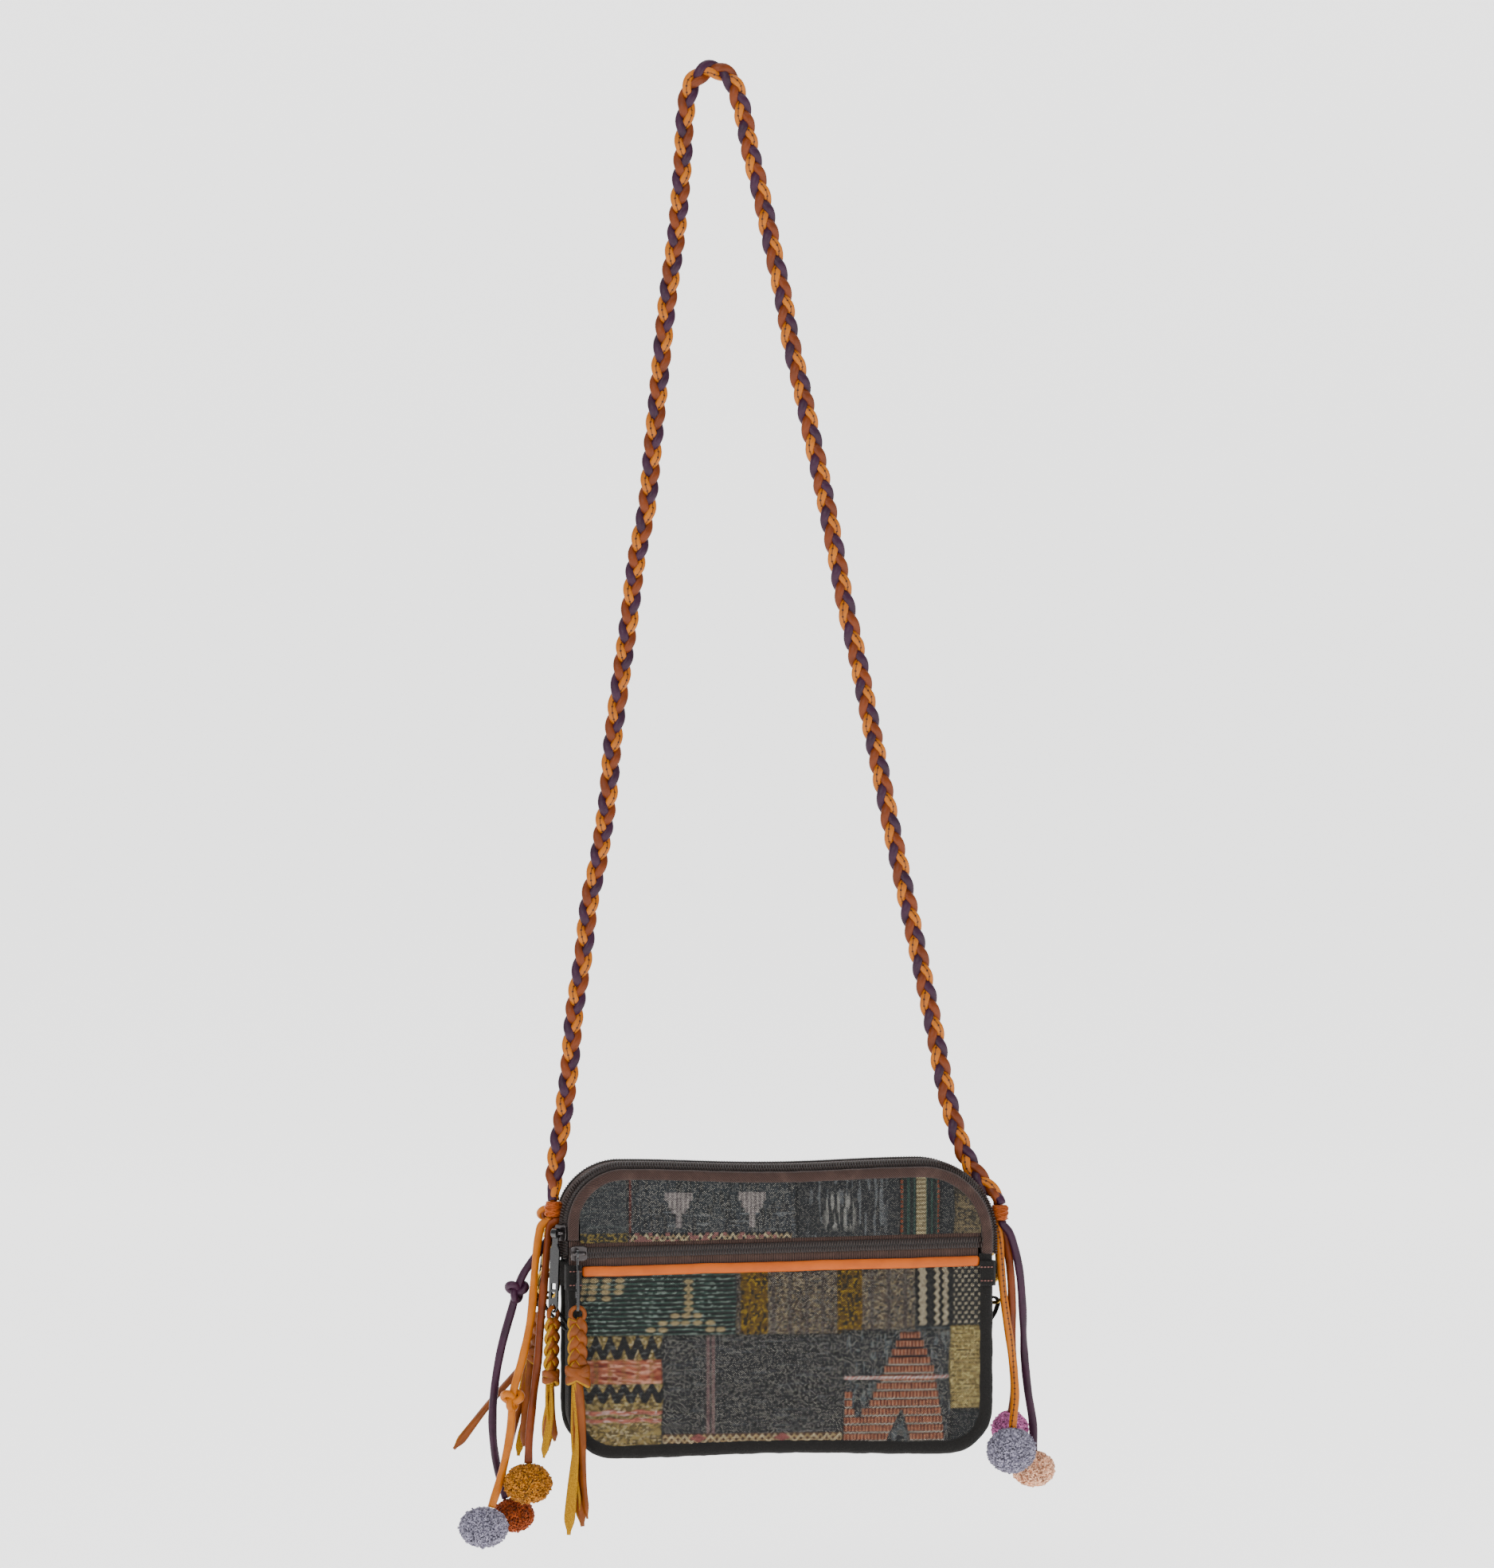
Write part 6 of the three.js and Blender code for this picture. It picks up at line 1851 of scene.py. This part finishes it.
# Strap centre line from the left binding over the hang point to the right one, in metres
STRAP_ROUTE = (
    (-0.0895, -0.004, -0.6382), (-0.0894, -0.004, -0.635), (-0.089, -0.0034, -0.629),
    (-0.0874, -0.0016, -0.6136), (-0.0836, 0, -0.5909), (-0.0799, 0, -0.5636),
    (-0.0771, 0, -0.5318), (-0.0721, 0, -0.5), (-0.0684, 0, -0.4682), (-0.0634, 0, -0.4455),
    (-0.0579, 0, -0.4091), (-0.0551, 0, -0.3773), (-0.051, 0, -0.3455), (-0.0459, 0, -0.3091),
    (-0.0413, 0, -0.2727), (-0.0358, 0, -0.2455), (-0.0321, 0, -0.2091), (-0.0285, 0, -0.1727),
    (-0.0239, 0, -0.1273), (-0.0184, 0, -0.0864), (-0.0149, 0, -0.0455), (-0.0132, 0, -0.018),
    (-0.0096, 0, -0.0025), (0.0005, 0, 0.0056), (0.0115, 0, 0.0015), (0.018, 0, -0.013),
    (0.024, 0, -0.0409), (0.0308, 0, -0.0682), (0.0366, 0, -0.0955), (0.0426, 0, -0.1227),
    (0.0474, 0, -0.15), (0.0528, 0, -0.1727), (0.0597, 0, -0.2045), (0.0657, 0, -0.2318),
    (0.0721, 0, -0.2636), (0.079, 0, -0.3), (0.0863, 0, -0.3318), (0.0927, 0, -0.3636),
    (0.0992, 0, -0.3955), (0.1056, 0, -0.4273), (0.1125, 0, -0.4591), (0.1194, 0, -0.4909),
    (0.1253, 0, -0.5182), (0.1309, 0, -0.5455), (0.137, 0, -0.5773), (0.1446, 0, -0.6045),
    (0.1505, -0.001, -0.619), (0.1578, -0.004, -0.63), (0.1652, -0.0057, -0.6372),
    (0.1671, -0.006, -0.6404), (0.1673, -0.006, -0.6424),
)


@dataclass(frozen=True)
class Tail(Named):
    """Strand end below a binding, in metres, with its pompom and any knot."""

    seed: int
    finish: Finish
    route: tuple[tuple[float, float, float], ...]
    centre: tuple[float, float, float]
    radii: tuple[float, float, float]
    wool: Finish
    knot: tuple[float, float, float] | None = None
    flat: float = 0.8
    diameter: float = 4.6 * MM
    yarns: int = 2100

    def build(self) -> None:
        """Makes the cord, its knot and its pompom over their CAD nodes."""
        route = np.array(self.route) / MM
        path = smooth_route(route, 1.6)
        along = travelled(path)
        spin = ripple(along, self.seed, 0.9, 120)
        facing = columns(np.sin(spin), -np.cos(spin), 0 * spin)
        width = self.diameter / MM
        section = round_section(width * 1.04, width * self.flat, 14, 2.3)
        swell = 1 + ripple(along, self.seed + 3, 0.05, 40)
        cord = add_piece(f"{self.name}_cord", sweep(path, section, facing, swell), [self.finish],
                         [f"{self.name}_tail"])
        middle = np.asarray(self.centre) / MM
        pieces = [self.build_pompom(middle, np.asarray(self.radii) / MM)]
        if self.knot:
            pieces.append(self.build_knot(np.asarray(self.knot) / MM))

    def build_knot(self, place: Array) -> bpy.types.Object:
        """Makes an overhand knot as a small trefoil of the same cord."""
        t = np.linspace(0, 2 * math.pi, 80)
        x = (np.sin(t) + 1.5 * np.sin(2 * t)) * 2.2
        z = (np.cos(t) - 1.5 * np.cos(2 * t)) * 2.2
        y = -np.sin(3 * t) * 1.9
        shape = tube(columns(x, y, z) + place, 2.1, 12)
        return add_piece(f"{self.name}_knot", shape, [self.finish])

    def build_pompom(self, middle: Array, radii: Array) -> bpy.types.Object:
        """Makes a pompom of short yarn ends that stand out of a core in random directions."""
        source = np.random.default_rng(self.seed)
        count = self.yarns
        heading = unit(source.normal(size=(count, 3)))
        aside = unit(np.cross(heading, source.normal(size=(count, 3))))
        other = np.cross(heading, aside)
        reach = radii * source.uniform(0.95, 1.01, (count, 1))
        droop = source.normal(scale=0.7, size=(count, 3))
        tip = middle + heading * reach + droop * 0.5
        root = middle + heading * radii * 0.55
        bend = (tip + root) / 2 + droop * 0.6
        thick = source.uniform(0.6, 0.85, (count, 1))
        angle = np.array([0, 2 * math.pi / 3, 4 * math.pi / 3])
        ring = aside[:, None] * np.cos(angle)[:, None] + other[:, None] * np.sin(angle)[:, None]
        rows = [root[:, None] + ring * thick[:, None], bend[:, None] + ring * thick[:, None],
                tip[:, None] + ring * thick[:, None] * 0.9]
        points = np.stack(rows, axis=1).reshape(-1, 3)
        own = grid_faces(3, 3, closed=True) + [[6, 7, 8]]
        faces = [[i + 9 * k for i in face] for k in range(count) for face in own]
        yarn = Shape(points, faces, points[:, :2].copy(), [0] * len(faces))
        core = ball(middle, radii * 0.86, 14, 20)
        return add_piece(f"{self.name}_wool", Shape.gather([yarn, core]), [self.wool],
                         [f"{self.name}_pompom"], smooth=False)


TAILS = (
    Tail("left_mustard", 101, MUSTARD, (
        (-0.0922, -0.004, -0.648), (-0.0922, -0.004, -0.6496), (-0.0962, -0.0046, -0.652),
        (-0.098, -0.0056, -0.658), (-0.1004, -0.007, -0.6773), (-0.1028, -0.008, -0.7045),
        (-0.1075, -0.008, -0.7273), (-0.113, -0.008, -0.7477), (-0.1144, -0.008, -0.7682),
        (-0.1189, -0.008, -0.7909), (-0.1252, -0.008, -0.8115)),
        (-0.1296, -0.008, -0.8227), (0.014, 0.013, 0.0114), Wool("grey_wool", "grey_wool"),
        knot=(-0.1133, -0.008, -0.7505)),
    Tail("left_rust", 102, RUST, (
        (-0.08815, -0.00634, -0.648), (-0.08815, -0.00634, -0.6496), (-0.0914, -0.0059, -0.6518),
        (-0.0926, -0.0061, -0.6575), (-0.0948, -0.0084, -0.68), (-0.0972, -0.0092, -0.7045),
        (-0.0988, -0.0092, -0.7273), (-0.1015, -0.009, -0.75), (-0.1038, -0.009, -0.772),
        (-0.1043, -0.009, -0.7866)), (-0.1045, -0.009, -0.7982), (0.0136, 0.013, 0.0114),
        Wool("mustard_wool", "mustard_wool", "#A46A02"), flat=0.7),
    Tail("left_purple", 103, PURPLE, (
        (-0.08815, -0.00166, -0.648), (-0.08815, -0.00166, -0.6496), (-0.0886, -0.0017, -0.652),
        (-0.0902, -0.0012, -0.6575), (-0.0985, -0.0012, -0.669), (-0.107, 0, -0.6818),
        (-0.1125, 0.002, -0.7), (-0.1185, 0.004, -0.7227), (-0.1221, 0.006, -0.7455),
        (-0.123, 0.008, -0.7682), (-0.1203, 0.01, -0.79), (-0.115, 0.012, -0.8085)),
        (-0.1102, 0.0124, -0.8182), (0.0114, 0.0114, 0.0096),
        Wool("rust_wool", "rust_wool", "#8A3E06"), knot=(-0.1098, 0.001, -0.6895)),
    Tail("right_mustard", 104, MUSTARD_SEAM, (
        (0.1646, -0.006, -0.6523), (0.1646, -0.006, -0.6539), (0.1658, -0.0066, -0.6555),
        (0.1668, -0.0074, -0.661), (0.1678, -0.009, -0.682), (0.1702, -0.0098, -0.7045),
        (0.1735, -0.01, -0.7273), (0.1756, -0.0106, -0.75), (0.1738, -0.0116, -0.7705)),
        (0.173, -0.012, -0.7832), (0.014, 0.013, 0.013), Wool("grey_wool", "grey_wool"), flat=0.72),
    Tail("right_rust", 105, RUST, (
        (0.16865, -0.00366, -0.6523), (0.16865, -0.00366, -0.6539), (0.1712, -0.0034, -0.661),
        (0.1739, -0.0056, -0.684), (0.1748, -0.0046, -0.7), (0.176, 0.001, -0.7273),
        (0.1782, 0.0065, -0.748), (0.1776, 0.0125, -0.7645)),
        (0.177, 0.014, -0.774), (0.0106, 0.0106, 0.0106), Wool("pink_wool", "pink_wool", "#D486B8")),
    Tail("right_purple", 106, PURPLE, (
        (0.16865, -0.00834, -0.6523), (0.16865, -0.00834, -0.6539), (0.1722, -0.0082, -0.658),
        (0.1758, -0.0072, -0.6675), (0.179, -0.006, -0.6818), (0.1813, -0.0034, -0.7045),
        (0.1827, 0, -0.7273), (0.1854, 0.003, -0.75), (0.1888, 0.005, -0.77), (0.1894, 0.006, -0.786)),
        (0.1891, 0.006, -0.7959), (0.0123, 0.012, 0.0104), Wool("peach_wool", "peach_wool", "#E8B496")),
)


@dataclass(frozen=True)
class Strap(Assembly):
    """Three-strand braid between the bindings, its route in metres and its sizes in millimetres."""

    route: tuple[tuple[float, float, float], ...] = STRAP_ROUTE
    width: float = 11.2
    period: float = 32.5
    strand_width: float = 5.2
    strand_depth: float = 3.7
    weave_depth: float = 1.55

    def build(self) -> None:
        """Makes the braid: a strand moves by a sine sideways and by a sine of twice it in depth."""
        path = smooth_route(np.array(self.route) / MM, 1.25)
        along = travelled(path)
        tangent = unit(np.gradient(path, axis=0))
        side = unit(np.cross(tangent, (0.0, -1.0, 0.0)))
        front = np.cross(side, tangent)
        swing = (self.width - self.strand_width) / 2
        phase_drift = ripple(along, 23, 0.35, 180)
        ends = np.clip(np.minimum(along, along[-1] - along) / 14, 0.35, 1)
        section = round_section(self.strand_width, self.strand_depth, 12, 2.5)
        strands = []
        for slot in range(3):
            phase = 2 * math.pi * (along / self.period + slot / 3) + phase_drift
            sideways = swing * np.sin(phase) * ends
            deep = self.weave_depth * np.sin(2 * phase)
            line = path + side * sideways[:, None] + front * deep[:, None]
            roll = 0.45 * np.cos(phase)
            facing = front * np.cos(roll)[:, None] + side * np.sin(roll)[:, None]
            strands.append(sweep(line, section, facing, slot=slot))
        strap = add_piece("braided_strap", Shape.gather(strands), [MUSTARD_SEAM, RUST, PURPLE], ["strap"])


@dataclass(frozen=True)
class Camera(Assembly):
    """Camera that matches the photograph, in metres and degrees."""

    aim: tuple[float, float, float] = (0.022, 0.0, -0.402)
    distance: float = 3.5
    azimuth_deg: float = -8.0
    lens: float = 140.8

    def build(self) -> None:
        """Makes the camera and sets it as the scene's own."""
        angle = math.radians(self.azimuth_deg)
        back = Vector((math.sin(angle), -math.cos(angle), 0.0))
        data = bpy.data.cameras.new("camera")
        data.lens = self.lens
        data.sensor_width = 36.0
        data.clip_end = 40.0
        camera = bpy.data.objects.new("camera", data)
        camera.location = Vector(self.aim) + back * self.distance
        camera.rotation_euler = (-back).to_track_quat("-Z", "Y").to_euler()
        bpy.context.scene.collection.objects.link(camera)
        bpy.context.scene.camera = camera


@dataclass(frozen=True)
class Lamp(Assembly):
    """Square soft light that looks at the bag, in metres and watts."""

    name: str
    place: tuple[float, float, float]
    size: float
    power: float
    aim: tuple[float, float, float] = (0.04, 0.0, -0.5)

    def build(self) -> None:
        """Makes the light."""
        data = bpy.data.lights.new(self.name, "AREA")
        data.size = self.size
        data.energy = self.power
        lamp = bpy.data.objects.new(self.name, data)
        lamp.location = self.place
        heading = Vector(self.aim) - Vector(self.place)
        lamp.rotation_euler = heading.to_track_quat("-Z", "Y").to_euler()
        bpy.context.scene.collection.objects.link(lamp)


@dataclass(frozen=True)
class Studio(Assembly):
    """Pale floor that curves up far behind the bag, soft lights and a pale sky, in millimetres."""

    floor: float = -880.0
    front: float = -16000.0
    bend_start: float = 3600.0
    bend_radius: float = 1920.0
    top: float = 8300.0
    half_width: float = 16000.0
    lamps: tuple[Lamp, ...] = (
        Lamp("key", (-1.3, -2.2, 0.9), 1.5, 46), Lamp("fill", (1.7, -2.0, -0.2), 1.6, 20),
        Lamp("top", (0.2, -0.2, 1.6), 1.4, 20))

    def build(self) -> None:
        """Makes the backdrop, a quarter circle between two flats, the lights and the sky."""
        bend = np.linspace(0, math.pi / 2, 14)
        curve = columns(self.bend_start + self.bend_radius * np.sin(bend),
                        self.floor + self.bend_radius * (1 - np.cos(bend)))
        profile = np.concatenate([[(self.front, self.floor)], curve,
                                  [(self.bend_start + self.bend_radius, self.top)]])
        shape = (len(profile), 2)
        points = np.stack([np.broadcast_to((-self.half_width, self.half_width), shape),
                           np.broadcast_to(profile[:, :1], shape),
                           np.broadcast_to(profile[:, 1:], shape)], axis=-1).reshape(-1, 3)
        mesh = bpy.data.meshes.new("backdrop")
        mesh.from_pydata((points * MM).tolist(), [], grid_faces(*shape))
        mesh.polygons.foreach_set("use_smooth", [True] * len(mesh.polygons))
        mesh.materials.append(Paper("backdrop_paper", "backdrop").material())
        backdrop = bpy.data.objects.new("backdrop", mesh)
        bpy.context.scene.collection.objects.link(backdrop)
        for lamp in self.lamps:
            lamp.build()
        world = bpy.data.worlds.new("studio")
        world.use_nodes = True
        background = world.node_tree.nodes["Background"]
        background.inputs[0].default_value = (0.95, 0.96, 1.0, 1.0)
        background.inputs[1].default_value = 0.5
        bpy.context.scene.world = world


def main() -> None:
    """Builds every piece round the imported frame."""
    logging.basicConfig(level=logging.INFO, format="%(message)s")
    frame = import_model()
    LOG.info("frame of %d nodes", len(frame["nodes"]))
    assemblies: list[Assembly] = [
        Camera(), Strap(), *TAILS, Shell(), ZipEndPatch("left", -1.0), ZipEndPatch("right", 1.0),
        MainZip("front", 1.0), MainZip("rear", -1.0), TopBand(), PocketZip(), *pulls(), *SIDES, Studio()]
    for assembly in assemblies:
        assembly.build()


if __name__ == "__main__":
    main()
